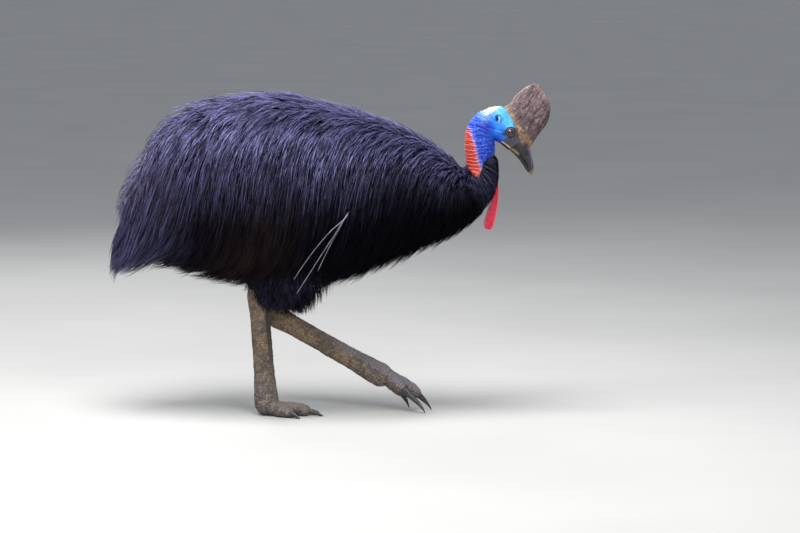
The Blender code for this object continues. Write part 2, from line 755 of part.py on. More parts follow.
def toe_point(side, turn, distance, whole, height):
    """A point along a toe, a distance from the ball. A raised heel slopes the toes down to their tips."""
    lift = HEEL_LIFT[side]
    slope = math.asin(lift / whole)
    angle = math.radians(HEADING[side] + OUTWARD[side] * turn)
    reach = distance * math.cos(slope)
    drop = lift * max(0.0, 1 - distance / whole) ** 1.15
    start = Vector((BALL[side].x, BALL[side].y, 0))
    return start + Vector((math.cos(angle), math.sin(angle), 0)) * reach + Vector((0, 0, height + drop))


def build_foot(side, bird, cutters, shank):
    """The three toes and their claws. The inner toe carries the long dagger claw."""
    neighbours = [shank]
    for name in ("middle", "inner", "outer"):
        turn, length, claw_length = TOES[name]
        whole = length + claw_length

        def at(distance, height):
            return toe_point(side, turn, distance, whole, height)

        thick = 0.0185 if name == "middle" else 0.0165
        rows = [
            (at(0.004, 0.030), 0.022, 0.020),
            (at(length * 0.30, 0.0215), 0.0210, thick * 1.08),
            (at(length * 0.48, thick * 0.95), thick * 1.02, thick * 0.96),
            (at(length * 0.70, thick * 0.93), thick, thick),
            (at(length * 0.88, thick * 0.80), thick * 0.84, thick * 0.86),
            (at(length, thick * 0.70), thick * 0.55, thick * 0.60),
        ]
        level = (at(length, 0) - at(0, 0)).cross(Vector((0, 0, 1))).normalized()
        toe = limb(f"toe_{name}_{side}", rows, 4, 8, leg_skin(), bird, level, (1.2, 4.4, 4, 0.0016, 1))
        stand_on_floor(toe, cutters)
        cut_clear(toe, neighbours, cutters)
        thick_claw = 0.0115 if name == "inner" else 0.0090
        rows = [
            (at(length - 0.014, 0.0125), thick_claw * 0.95, thick_claw * 0.85),
            (at(length + claw_length * 0.12, 0.0130), thick_claw, thick_claw * 0.88),
            (at(length + claw_length * 0.50, 0.0085), thick_claw * 0.70, thick_claw * 0.60),
            (at(length + claw_length * 0.85, 0.0025), thick_claw * 0.36, thick_claw * 0.30),
            (at(whole, 0.0002), 0.0012, 0.0012),
        ]
        claw = limb(f"claw_{name}_{side}", rows, 4, 6, dark_horn(), bird, level)
        stand_on_floor(claw, cutters)
        cut_clear(claw, [toe], cutters)
        neighbours.append(toe)


def build_wing(side, bird, cutters, torso):
    """The small hidden wing on the flank, with its long bare quills outside the plumage."""
    sign = OUTWARD[side]
    outer = loft("outer", trunk_rings(RUMP, CHEST, 12, 24, 1), feather(), cutters)
    skin, tips = tree_of(torso), tree_of(outer)
    bpy.data.objects.remove(outer)

    def beside(surface, x, z, out):
        """A point that stands out from the flank."""
        hit = surface.ray_cast(Vector((x, sign, max(z, QUILL_FREE))), Vector((0, -sign, 0)))[0]
        return Vector((x, hit.y + sign * out, z))

    rows = [
        (beside(skin, 0.106, 0.652, 0.001), 0.009, 0.006),
        (beside(skin, 0.092, 0.643, 0.003), 0.014, 0.008),
        (beside(skin, 0.070, 0.629, 0.004), 0.013, 0.008),
        (beside(skin, 0.054, 0.617, 0.004), 0.007, 0.005),
    ]
    wing = limb("wing_" + side, rows, 4, 7, feather(), bird)
    quills = []
    for (end_x, end_z, sag) in QUILLS:
        start = beside(skin, 0.062, 0.624, 0.006)
        rows = [(start, 0.0024, 0.0024), (beside(tips, 0.046, 0.600, 0.006), 0.0023, 0.0023)]
        for t in (0.3, 0.55, 0.8, 1):
            x = start.x + (end_x - start.x) * t - sag * math.sin(math.pi * t)
            z = start.z + (end_z - start.z) * t
            rows.append((beside(tips, x, z, 0.007), 0.0022 - 0.0014 * t, 0.0022 - 0.0014 * t))
        quills.append(limb("quill", rows, 6, 4, quill(), cutters))
    combine(wing, "UNION", quills)
    for tool in quills:
        bpy.data.objects.remove(tool)
    cut_clear(wing, [torso], cutters)


def main():
    for thing in list(bpy.data.objects):
        bpy.data.objects.remove(thing)
    bird = bpy.data.collections.new("cassowary")
    cutters = bpy.data.collections.new("cutters")
    bpy.context.scene.collection.children.link(bird)
    bpy.context.scene.collection.children.link(cutters)
    cores = build_trunk(bird)
    build_head(bird, cutters)
    torso, neck_base = bird.objects["torso"], bird.objects["neck_base"]
    build_wattles(bird, cutters, neck_base)
    for side in ("right", "left"):
        shank = build_shank(side, bird, cutters)
        build_thigh(side, bird, cutters, torso, shank)
        build_foot(side, bird, cutters, shank)
    for side in ("right", "left"):
        build_wing(side, bird, cutters, torso)
    rooms = {thing.name: tree_of(grown(thing, LOCK_CLEARANCE, cutters)) for thing in list(bird.objects)}
    fields = [
        (cores[2], trunk_point, PLUMAGE, trunk_lie, CHEST, RUFF),
        (cores[1], trunk_point, PLUMAGE, trunk_lie, RUMP, CHEST),
        (cores[0], trunk_point, PLUMAGE, trunk_lie, TAIL_ROOT, RUMP),
        (bird.objects["thigh_right"], drumstick_surface("right"), LEG_PLUMAGE, drumstick_lie, 0.6, 4.3),
        (bird.objects["thigh_left"], drumstick_surface("left"), LEG_PLUMAGE, drumstick_lie, 0.6, 4.3),
    ]
    done = []
    for core, surface, table, lie, start, end in fields:
        roots = staggered(surface, table, start, end)
        obstacles = [tree for name, tree in rooms.items() if name != core.name] + done
        done += plume(core, surface, table, roots, lie, obstacles, cutters)
    for tool in list(cutters.objects):
        bpy.data.objects.remove(tool)


def tree_of(thing):
    """A search tree of a solid's surface."""
    made = bmesh.new()
    made.from_mesh(thing.data)
    tree = BVHTree.FromBMesh(made)
    made.free()
    return tree


main()
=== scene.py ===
"""The dressed model of a walking southern cassowary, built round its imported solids.

Metres, +Z up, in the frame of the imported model. The bird faces +X and its left side is +Y. The
floor is Z = 0.
"""

import json
import math

import bmesh
import bpy
import numpy as np
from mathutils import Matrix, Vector

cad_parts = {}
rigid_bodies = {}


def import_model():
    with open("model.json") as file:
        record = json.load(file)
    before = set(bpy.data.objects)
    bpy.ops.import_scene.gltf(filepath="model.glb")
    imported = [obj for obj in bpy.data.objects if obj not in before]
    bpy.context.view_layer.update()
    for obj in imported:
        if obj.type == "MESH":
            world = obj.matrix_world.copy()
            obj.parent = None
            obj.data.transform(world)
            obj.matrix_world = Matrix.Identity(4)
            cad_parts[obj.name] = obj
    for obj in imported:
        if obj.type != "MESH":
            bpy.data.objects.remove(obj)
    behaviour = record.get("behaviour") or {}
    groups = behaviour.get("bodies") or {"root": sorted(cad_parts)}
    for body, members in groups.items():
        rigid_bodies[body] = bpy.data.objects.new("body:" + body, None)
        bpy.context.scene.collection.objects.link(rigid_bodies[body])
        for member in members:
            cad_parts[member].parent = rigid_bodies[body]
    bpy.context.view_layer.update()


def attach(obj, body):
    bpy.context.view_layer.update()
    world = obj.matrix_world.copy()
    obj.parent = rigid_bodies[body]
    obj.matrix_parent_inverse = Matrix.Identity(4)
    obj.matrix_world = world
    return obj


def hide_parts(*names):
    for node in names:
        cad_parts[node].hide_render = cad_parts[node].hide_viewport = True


# The camera stands square to the bird's right side.
CAMERA_DISTANCE = 10.0
CAMERA_HEIGHT = 1.56
CAMERA_X = 0.206
CAMERA_DOWN = math.radians(6.4)
VIEW_WIDTH = 2.353
SENSOR = 36.0
# Each lamp: name, place, size, power. All point at the middle of the bird.
LAMPS = (
    ("over", (-0.5, -1.1, 3.6), 2.2, 230),
    ("key", (1.6, -4.8, 3.6), 2.2, 150),
    ("rear", (-1.8, 3.6, 3.0), 2.6, 80),
)
LIT_POINT = (0, 0, 0.6)
SKY = ((0.86, 0.91, 1.0, 1), 0.5)

# The trunk from the tips of the tail to the top of the neck, as rings square to a bending spine.
# Each ring: x, z and tilt of the spine in degrees, the core's reach to the back, the belly and each
# side, then how far the tips of the plumage stand out past the back, the belly and the sides.
TRUNK = np.array([
    (-0.638, 0.53, 0, 0.01, 0.01, 0.01, 0.072, 0.06, 0.02),
    (-0.63, 0.555, 0, 0.012, 0.012, 0.012, 0.094, 0.106, 0.076),
    (-0.603, 0.594, 0, 0.016, 0.016, 0.014, 0.114, 0.15, 0.105),
    (-0.543, 0.642, 0, 0.034, 0.034, 0.028, 0.131, 0.166, 0.117),
    (-0.515, 0.655, 0, 0.088, 0.083, 0.068, 0.107, 0.12, 0.087),
    (-0.455, 0.668, 0, 0.16, 0.143, 0.13, 0.078, 0.085, 0.057),
    (-0.371, 0.68, 0, 0.205, 0.188, 0.168, 0.053, 0.074, 0.038),
    (-0.261, 0.69, 0, 0.224, 0.222, 0.196, 0.039, 0.073, 0.038),
    (-0.141, 0.69, 0, 0.23, 0.232, 0.203, 0.036, 0.06, 0.037),
    (-0.021, 0.685, 0, 0.213, 0.225, 0.193, 0.035, 0.062, 0.037),
    (0.099, 0.675, -3, 0.19, 0.195, 0.163, 0.035, 0.06, 0.037),
    (0.209, 0.665, -5, 0.157, 0.155, 0.125, 0.034, 0.046, 0.031),
    (0.299, 0.655, -5, 0.118, 0.115, 0.098, 0.034, 0.037, 0.025),
    (0.364, 0.65, 5, 0.088, 0.088, 0.078, 0.03, 0.026, 0.021),
    (0.41, 0.657, 27, 0.066, 0.057, 0.059, 0.05, 0.017, 0.018),
    (0.437, 0.683, 50, 0.052, 0.041, 0.047, 0.037, 0.012, 0.014),
    (0.446, 0.718, 80, 0.045, 0.036, 0.04, 0.012, 0.009, 0.01),
    (0.444, 0.757, 93, 0.045, 0.039, 0.04, 0.005, 0.006, 0.006),
    (0.44, 0.797, 95, 0.044, 0.043, 0.041, 0, 0, 0),
    (0.441, 0.831, 82, 0.042, 0.042, 0.039, 0, 0, 0),
    (0.457, 0.858, 47, 0.04, 0.043, 0.038, 0, 0, 0),
    (0.485, 0.874, 15, 0.036, 0.04, 0.036, 0, 0, 0),
])
TAIL_ROOT, RUMP, CHEST, COLLAR, NECK_START, CROWN = 3.0, 5.6, 11.6, 13.8, 14.8, 21.0
HAUNCH_FULLNESS = 0.1
DROOP = 0.2
SINK = 0.011
SKIN_DEPTH = -0.5

# The drumstick: share of the way from knee to cuff, half depth, half width, depth of its plumage.
DRUMSTICK = np.array([
    (0.0, 0.088, 0.066, 0.02),
    (0.35, 0.082, 0.06, 0.022),
    (0.65, 0.062, 0.048, 0.026),
    (0.88, 0.043, 0.037, 0.025),
    (1.0, 0.037, 0.032, 0.022),
    (1.14, 0.033, 0.028, 0.022),
    (1.3, 0.014, 0.014, 0.026),
])
DRUMSTICK_END = 4.0
# The plumage of each drumstick: the last ring it roots on, how far it swings forward to hang
# straight down, and the height of its hem in front and behind.
CUFF = {"right": (4.7, 0.57, 0.313, 0.372), "left": (3.7, 0.37, 0.292, 0.32)}

# The coat: ring, how far apart the tufts root, their length, how far a tuft spreads, and how wide a
# strand is.
TRUNK_COAT = np.array([
    (2.4, 0.0095, 0.125, 0.009, 0.0021),
    (4.0, 0.0093, 0.2, 0.01, 0.0022),
    (5.6, 0.0106, 0.235, 0.0105, 0.0023),
    (7.0, 0.0115, 0.22, 0.011, 0.0023),
    (8.5, 0.0115, 0.205, 0.011, 0.0023),
    (11.6, 0.0096, 0.155, 0.009, 0.0021),
    (14.0, 0.0074, 0.085, 0.0058, 0.0017),
    (15.2, 0.0062, 0.055, 0.0042, 0.0014),
    (16.5, 0.0052, 0.036, 0.0032, 0.0012),
    (17.4, 0.0046, 0.024, 0.0024, 0.001),
])
LEG_COAT = np.array([
    (0.0, 0.0125, 0.13, 0.01, 0.0024),
    (4.6, 0.0078, 0.09, 0.0072, 0.0021),
])
# The pieces of the coat on the trunk: name, first and last key.
BANDS = (
    ("tail", 2.4, RUMP),
    ("rump", RUMP, 7.6),
    ("back", 7.6, 9.6),
    ("flank", 9.6, CHEST),
    ("breast", CHEST, COLLAR),
)
# Rows of roots lie closer than the roots in a row.
ROW_SPACING = 0.87
STRANDS = 5
# One strand from root to tip: share of its length, share of its width.
STRAND = ((0.0, 0.8), (0.3, 1.0), (0.6, 0.85), (0.85, 0.5), (1.0, 0.0))
PATH_STEPS = 14
TIP_TUCK = 0.05
# Past the end of the tail a tuft keeps this much of its last stride, and falls this much of one.
TAIL_ONWARD, TAIL_FALL = 0.58, 0.2
# How bright the painted sheen in the colour of the legs' plumage is.
LEG_PAINTED_SHEEN = 0.26
# Where the neck's plumage ends: turns from the nape to the throat, and their keys.
NECK_EDGE = ((0, 1.31, 1.68, 2.09, math.pi), (16.75, 15.55, 16.9, 17.15, 17.2))
# The width of a tuft's patch on the map of its piece.
PATCH = 0.003
SEED = 7

HEAD_VOXELS = (0.0012, 0.0018)
LEG_VOXELS = (0.0017, 0.0026)
# The skin under the plumage: near-black, partly its own dark colour and partly painted shade deep in the
# coat.
COVERED_SKIN = (0.01, 0.009, 0.016)
BLACK = (0, 0, 0)
FLOOR_GAP = 0.0002
# How many points are measured against a line at a time.
PART = 20000

# The head in its own frame: forward along the bill and up through the casque, from between the eyes.
EYE = Vector((0.528, 0.0, 0.836))
BOW = math.radians(56.7)
EYE_OUT, EYE_RADIUS = 0.024, 0.0125
LID_OUT, LID_RADIUS, LID_THICKNESS = 0.033, 0.0102, 0.0024
# Places on the head: forward, up.
EAR = (-0.0531, -0.0107)
GAPE = (0.0113, -0.0367)
GAPE_SLOPE = 0.36
NOSTRIL = (0.086, 0.004)
# Each ring of the head, the bill and the lower bill: forward, top, bottom, half width.
SKULL = np.array([
    (-0.092, -0.02, -0.038, 0.01),
    (-0.088, -0.003, -0.052, 0.024),
    (-0.077, 0.018, -0.058, 0.033),
    (-0.062, 0.0265, -0.0595, 0.036),
    (-0.045, 0.029, -0.059, 0.037),
    (-0.022, 0.03, -0.057, 0.0355),
    (0.0, 0.026, -0.0505, 0.0325),
    (0.012, 0.0235, -0.044, 0.029),
    (0.024, 0.021, -0.0395, 0.025),
    (0.04, 0.018, -0.0345, 0.0205),
])
BILL = np.array([
    (0.03, 0.02, -0.029, 0.0195),
    (0.0363, 0.023, -0.0265, 0.02),
    (0.055, 0.0245, -0.02, 0.0178),
    (0.07, 0.022, -0.0165, 0.0152),
    (0.09, 0.015, -0.0152, 0.0122),
    (0.115, 0.006, -0.0158, 0.0092),
    (0.132, -0.0035, -0.0178, 0.0062),
    (0.1415, -0.0125, -0.0187, 0.0028),
])
LOWER_BILL = np.array([
    (0.03, -0.024, -0.0352, 0.0178),
    (0.0363, -0.022, -0.0338, 0.0172),
    (0.055, -0.015, -0.0282, 0.015),
    (0.075, -0.011, -0.0238, 0.0124),
    (0.098, -0.0105, -0.0222, 0.0096),
    (0.118, -0.012, -0.022, 0.0066),
    (0.131, -0.016, -0.0216, 0.0032),
])
# Each level of the casque: up, back edge, front edge, half width.
CASQUE = np.array([
    (0.006, -0.066, 0.06, 0.019),
    (0.012, -0.07, 0.07, 0.02),
    (0.03, -0.0685, 0.069, 0.0195),
    (0.05, -0.07, 0.06, 0.018),
    (0.075, -0.0795, 0.05, 0.016),
    (0.1, -0.0825, 0.0415, 0.0135),
    (0.12, -0.0815, 0.027, 0.0105),
    (0.136, -0.079, 0.008, 0.007),
    (0.1455, -0.07, -0.008, 0.0035),
])
CASQUE_LEAN = math.radians(20)

# The legs, right and left. The bird stands on the right foot and reaches forward with the left.
KNEE = {"right": Vector((-0.005, -0.125, 0.66)), "left": Vector((-0.03, 0.125, 0.62))}
HOCK = {"right": Vector((-0.209, -0.062, 0.365)), "left": Vector((-0.163, 0.068, 0.284))}
BALL = {"right": Vector((-0.187, -0.018, 0.032)), "left": Vector((0.15, 0.058, 0.107))}
HEEL_LIFT = {"right": 0.0, "left": 0.08}
HEADING = {"right": -10, "left": 6}
OUTWARD = {"right": -1, "left": 1}
HOCK_CUFF = 0.04
# Each toe: turn outward from the middle of the foot in degrees, length, length of its claw.
TOES = {"inner": (-26, 0.078, 0.082), "middle": (0, 0.125, 0.045), "outer": (30, 0.095, 0.035)}
# The pads of a toe: share of its length, then height, half depth and half width for its thickness.
TOE_PADS = (
    (0.44, 0.95, 0.98, 0.92),
    (0.58, 0.95, 1.05, 1.06),
    (0.7, 0.93, 0.95, 0.92),
    (0.84, 0.86, 0.92, 0.96),
    (1.0, 0.7, 0.6, 0.66),
    (1.03, 0.66, 0.3, 0.3),
)

# The wattles, from the top down: x, distance from the middle, z, half depth and half width.
WATTLE = [
    (0.4845, 0.01, 0.704, 0.0045, 0.0035),
    (0.4885, 0.012, 0.684, 0.0052, 0.004),
    (0.489, 0.013, 0.662, 0.0066, 0.0042),
    (0.486, 0.014, 0.638, 0.009, 0.0045),
    (0.479, 0.016, 0.61, 0.012, 0.005),
    (0.4715, 0.017, 0.58, 0.0142, 0.0056),
    (0.4665, 0.017, 0.56, 0.0138, 0.0054),
    (0.4645, 0.017, 0.55, 0.0085, 0.0034),
]

# The bare quills of each wing: x, z and depth of the hidden root and of where they come out, then
# for each quill x and z of its tip and how far it sags back on the way.
QUILL_ROOT = ((0.062, 0.624, -0.022), (0.046, 0.6, 0.003))
QUILLS = [(-0.099, 0.426, 0.01), (-0.091, 0.385, 0.0), (-0.03, 0.45, 0.004)]
QUILL_FREE = 0.5
QUILL_THICK = 0.0015

FLESH = ["tail", "torso", "neck_base", "neck", "head"] + [
    f"{name}_{side}" for side in OUTWARD
    for name in ("thigh", "shank", "toe_inner", "toe_middle", "toe_outer")
]


# Shapes of the bird


def rows_at(table, keys):
    """Rows of the table at fractional indices, on a smooth curve through its rows."""
    slopes = np.gradient(table, axis=0)
    keys = np.clip(np.asarray(keys, float), 0, len(table) - 1)
    index = np.minimum(np.floor(keys).astype(int), len(table) - 2)
    t = (keys - index)[..., None]
    rise = t * t * (3 - 2 * t)
    return (table[index] * (1 - rise) + table[index + 1] * rise
            + slopes[index] * t * (1 - t) ** 2 + slopes[index + 1] * t * t * (t - 1))


def smooth_rows(table, count):
    """So many rows, spread evenly over the smooth curve through the table's rows."""
    return rows_at(table, np.linspace(0, len(table) - 1, count))


def circle(count):
    """The angles of so many even steps round a full turn."""
    return [math.tau * s / count for s in range(count)]


def curved(values, power):
    """Values from -1 to 1 raised to a power, with their signs kept."""
    return np.sign(values) * np.abs(values) ** power


def unit(vectors):
    """Vectors brought to a length of 1."""
    return vectors / (np.linalg.norm(vectors, axis=-1, keepdims=True) + 1e-9)


def lengths_along(line):
    """How far along a line each of its points is."""
    return np.concatenate([[0], np.cumsum(np.linalg.norm(np.diff(line, axis=0), axis=1))])


def trunk(keys, turns, coat):
    """Points of the trunk. Turn runs from 0 at the back to half a turn at the belly, to the right
    where it is positive. Coat is the share of the plumage's depth that is added, and below 0 it
    goes into the core."""
    keys, turns, coat = np.broadcast_arrays(np.asarray(keys, float), turns, coat)
    rows = np.moveaxis(rows_at(TRUNK, keys), -1, 0)
    x, z, tilt, dorsal, ventral, half, tips_dorsal, tips_ventral, tips_side = rows
    tilt = np.radians(tilt)
    tall, wide = np.cos(turns), np.sin(turns)
    power = np.where(tall < 0, 1 - DROOP * np.clip(coat, 0, 1), 1)
    tall, wide = curved(tall, power), curved(wide, power)
    out, sunk = np.maximum(coat, 0), np.minimum(coat, 0) * SINK
    reach = np.where(tall > 0, dorsal + out * tips_dorsal, ventral + out * tips_ventral) + sunk
    side = (half + out * tips_side + sunk) * wide * (1 - HAUNCH_FULLNESS * tall)
    return np.stack([x - np.sin(tilt) * reach * tall, -side, z + np.cos(tilt) * reach * tall], axis=-1)


def drumstick(side):
    """A surface like the trunk's, from the knee down to past the cuff."""
    knee, cuff = KNEE[side], cuff_point(side)
    down = (cuff - knee).normalized()
    front = (Vector((1, 0, 0)) - down * down.x).normalized()
    right = front.cross(down)

    def surface(keys, turns, coat):
        keys, turns, coat = np.broadcast_arrays(np.asarray(keys, float), turns, coat)
        share, depth, width, out = np.moveaxis(rows_at(DRUMSTICK, keys), -1, 0)
        forward, aside = np.cos(turns), np.sin(turns)
        more = np.maximum(coat, 0) * out * (1 + 0.4 * forward) + np.minimum(coat, 0) * SINK * 0.6
        middle = np.array(knee) + share[..., None] * np.array(cuff - knee)
        return (middle + np.array(front) * ((depth + more) * forward)[..., None]
                + np.array(right) * ((width + more) * aside)[..., None])

    return surface


def cuff_point(side):
    """Where the feathered leg ends, above the hock."""
    return HOCK[side] + (KNEE[side] - HOCK[side]).normalized() * HOCK_CUFF


def on_head(forward, side, up):
    """A point of the head's own frame, in the world."""
    c, s = math.cos(BOW), math.sin(BOW)
    return EYE + Vector((forward * c + up * s, side, up * c - forward * s))


def head_frame(points):
    """Forward, side and up of points in the head's own frame."""
    c, s = math.cos(BOW), math.sin(BOW)
    x, y, z = (points - np.array(EYE)).T
    return x * c - z * s, y, x * s + z * c


def toe_point(side, turn, distance, whole, height):
    """A point along a toe, a distance from the ball. A raised heel slopes the toes down to their tips."""
    lift = HEEL_LIFT[side]
    slope = math.asin(lift / whole)
    angle = math.radians(HEADING[side] + OUTWARD[side] * turn)
    reach = distance * math.cos(slope)
    drop = lift * 1.12 * max(0.0, 1 - distance / whole) ** 0.74
    start = Vector((BALL[side].x, BALL[side].y, 0))
    return start + Vector((math.cos(angle), math.sin(angle), 0)) * reach + Vector((0, 0, height + drop))


def toe_path(side, name, rows):
    """A path along a toe, and which way is level across it. Each row: distance from the ball,
    height, half depth, half width."""
    turn, length, claw_length = TOES[name]
    whole = length + claw_length
    path = [(toe_point(side, turn, distance, whole, height), *sizes) for distance, height, *sizes in rows]
    run = toe_point(side, turn, length, whole, 0) - toe_point(side, turn, 0, whole, 0)
    return path, run.cross(Vector((0, 0, 1))).normalized()


# Meshes


def full_or_quick(full, quick):
    return full


def placed(name, data):
    """A new object in the scene."""
    thing = bpy.data.objects.new(name, data)
    bpy.context.scene.collection.objects.link(thing)
    return thing


def add_mesh(name, points, faces, look=None):
    """A smooth-shaded mesh object from points and faces, turned so that its faces point out."""
    made = bmesh.new()
    corners = [made.verts.new(p) for p in points]
    for face in faces:
        made.faces.new([corners[i] for i in face])
    bmesh.ops.recalc_face_normals(made, faces=made.faces)
    mesh = bpy.data.meshes.new(name)
    made.to_mesh(mesh)
    made.free()
    mesh.shade_smooth()
    if look:
        mesh.materials.append(look)
    return placed(name, mesh)


def path_table(rows):
    """A path's rows as numbers: x, y, z, half depth, half width."""
    return np.array([(*place, *sizes) for place, *sizes in rows], dtype=float)


def ring_faces(rings, count, closed=False):
    """Faces between rings of so many points. A closed row of rings ends where it began."""
    faces = []
    for i in range(rings if closed else rings - 1):
        here, there = i * count, (i + 1) % rings * count
        for s in range(count):
            n = (s + 1) % count
            faces.append((here + s, here + n, there + n, there + s))
    return faces


def loft(name, rings, look=None, ends=None):
    """A closed solid through rings of equally many points. Each end is drawn to a point, the middle
    of its ring if none is given."""
    count = len(rings[0])
    ends = ends or [sum((Vector(p) for p in ring), Vector()) / count for ring in (rings[0], rings[-1])]
    points = [p for ring in rings for p in ring] + list(ends)
    first, last = len(points) - 2, len(points) - 1
    faces = ring_faces(len(rings), count)
    for s in range(count):
        n = (s + 1) % count
        faces += [(n, s, first), (first - count + s, first - count + n, last)]
    return add_mesh(name, points, faces, look)


def tube(name, rows, steps, sides, look=None, level=Vector((0, 1, 0))):
    """A closed tube on a smooth path. Each row: place, half depth, half width."""
    fine = smooth_rows(path_table(rows), steps + 1)
    rings = []
    for i, (x, y, z, depth, width) in enumerate(fine):
        along = Vector(fine[min(i + 1, steps)][:3] - fine[max(i - 1, 0)][:3]).normalized()
        across = (level - along * level.dot(along)).normalized()
        up = across.cross(along)
        rings.append([
            Vector((x, y, z)) + across * (width * math.cos(a)) + up * (depth * math.sin(a))
            for a in circle(sides)
        ])
    return loft(name, rings, look)


def head_rings(table, steps, sides, square):
    """Rings square to the bill, from rows of forward, top, bottom and half width. Square is 2 for an
    egg, more for a boxier ring and less for a leaner one."""
    power = 2 / square
    rings = []
    for forward, top, bottom, half in smooth_rows(table, steps + 1):
        middle, tall = (top + bottom) / 2, (top - bottom) / 2
        rings.append([
            on_head(forward, half * curved(math.cos(a), power), middle + tall * curved(math.sin(a), power))
            for a in circle(sides)
        ])
    return rings


def joined(things, name):
    """Joins objects into one, under a new name."""
    with bpy.context.temp_override(active_object=things[0], selected_editable_objects=things):
        bpy.ops.object.join()
    things[0].name = name
    things[0].data.name = name
    return things[0]


def applied(thing):
    """Applies the object's modifiers."""
    bpy.context.view_layer.update()
    graph = bpy.context.evaluated_depsgraph_get()
    mesh = bpy.data.meshes.new_from_object(thing.evaluated_get(graph))
    thing.modifiers.clear()
    thing.data = mesh
    mesh.shade_smooth()
    return thing


def melted(things, name, voxel, smoothing):
    """Melts closed forms into one skin of small even faces, and smooths where they meet."""
    thing = joined(things, name)
    remesh = thing.modifiers.new("melt", "REMESH")
    remesh.mode = "VOXEL"
    remesh.voxel_size = voxel
    ease = thing.modifiers.new("ease", "SMOOTH")
    ease.factor = 0.5
    ease.iterations = smoothing
    return applied(thing)


def points_of(thing):
    """Vertex places and normals, as arrays."""
    count = len(thing.data.vertices)
    places, normals = np.empty(count * 3, np.float32), np.empty(count * 3, np.float32)
    thing.data.vertices.foreach_get("co", places)
    thing.data.vertex_normals.foreach_get("vector", normals)
    return places.reshape(-1, 3).astype(float), normals.reshape(-1, 3).astype(float)


def put_points(thing, places):
    """Moves all vertices to new places."""
    thing.data.vertices.foreach_set("co", places.astype(np.float32).ravel())
    thing.data.update()


def emboss(thing, places, normals, height):
    """Moves each point out along its normal by its height, and keeps it over the floor."""
    places = places + normals * height[:, None]
    places[:, 2] = np.maximum(places[:, 2], FLOOR_GAP)
    put_points(thing, places)


def write_values(thing, name, values):
    """Keeps one number or one colour for each vertex under a name."""
    kind, key = ("FLOAT", "value") if values.ndim == 1 else ("FLOAT_COLOR", "color")
    if values.ndim == 2:
        values = np.column_stack([values, np.ones(len(values))])
    attribute = thing.data.attributes.new(name, kind, "POINT")
    attribute.data.foreach_set(key, values.astype(np.float32).ravel())


# Patterns over points


def bump(values, centre, spread):
    """A smooth bell, 1 at the centre and fading over the spread."""
    return np.exp(-((values - centre) / spread) ** 2)


def step(values, low, high):
    """0 below low, 1 above high and smooth between. It falls where low is above high."""
    t = np.clip((values - low) / (high - low), 0, 1)
    return t * t * (3 - 2 * t)


def lottery(code):
    """A number from 0 to 1 that looks random but always follows from the code."""
    mixed = np.sin(code * 12.9898 + 4.1) * 43758.5453
    return mixed - np.floor(mixed)


def cloud(places, size, seed=0):
    """Smooth noise from 0 to 1 over space, in blobs of about the size."""
    spots = places / size + seed * 17.31
    cell = np.floor(spots)
    share = spots - cell
    share = share * share * (3 - 2 * share)
    total = np.zeros(len(places))
    for corner in np.ndindex(2, 2, 2):
        x, y, z = (cell + corner).T
        weight = np.prod(np.where(corner, share, 1 - share), axis=1)
        total += lottery((x * 73.7 + y * 179.3 + z * 283.1) % 9973.1) * weight
    return total


def clouds(places, size, seed=0):
    """Noise with finer noise on it, from about -1 to 1."""
    return (cloud(places, size, seed) + 0.5 * cloud(places, size / 2.1, seed + 3)
            + 0.25 * cloud(places, size / 4.3, seed + 5) - 0.875) / 0.6


def paving(u, v, around, seed=0):
    """Uneven cells over a plane: how far from its seams each point is, from 0 to 1, and a number
    for its cell. The cells repeat in v after a number of them."""
    row, lane = np.floor(u), np.floor(v)
    first = np.full(len(u), 9.0)
    second = np.full(len(u), 9.0)
    own = np.zeros(len(u))
    for step_u in (-1, 0, 1):
        for step_v in (-1, 0, 1):
            code = (row + step_u) * 57.31 + ((lane + step_v) % around) * 131.7 + seed * 11.3
            away = np.hypot(u - row - step_u - 0.15 - 0.7 * lottery(code),
                            v - lane - step_v - 0.15 - 0.7 * lottery(code + 7.7))
            second = np.minimum(second, np.maximum(first, away))
            own = np.where(away < first, lottery(code + 3.3), own)
            first = np.minimum(first, away)
    return step(second - first, 0.03, 0.34), own


def nearest_on(line, places):
    """The index of the nearest point of a line to each place."""
    parts = np.array_split(places, len(places) // PART + 1)
    return np.concatenate([((part[:, None] - line) ** 2).sum(axis=2).argmin(axis=1) for part in parts])


class Paint:
    """Colours of points, laid one over another."""

    def __init__(self, count, tone):
        self.colours = np.tile(tone, (count, 1)).astype(float)

    def lay(self, share, tone):
        """Covers the share of each point's colour with a tone."""
        share = np.clip(share, 0, 1)[:, None]
        self.colours = self.colours * (1 - share) + np.asarray(tone) * share


# Materials


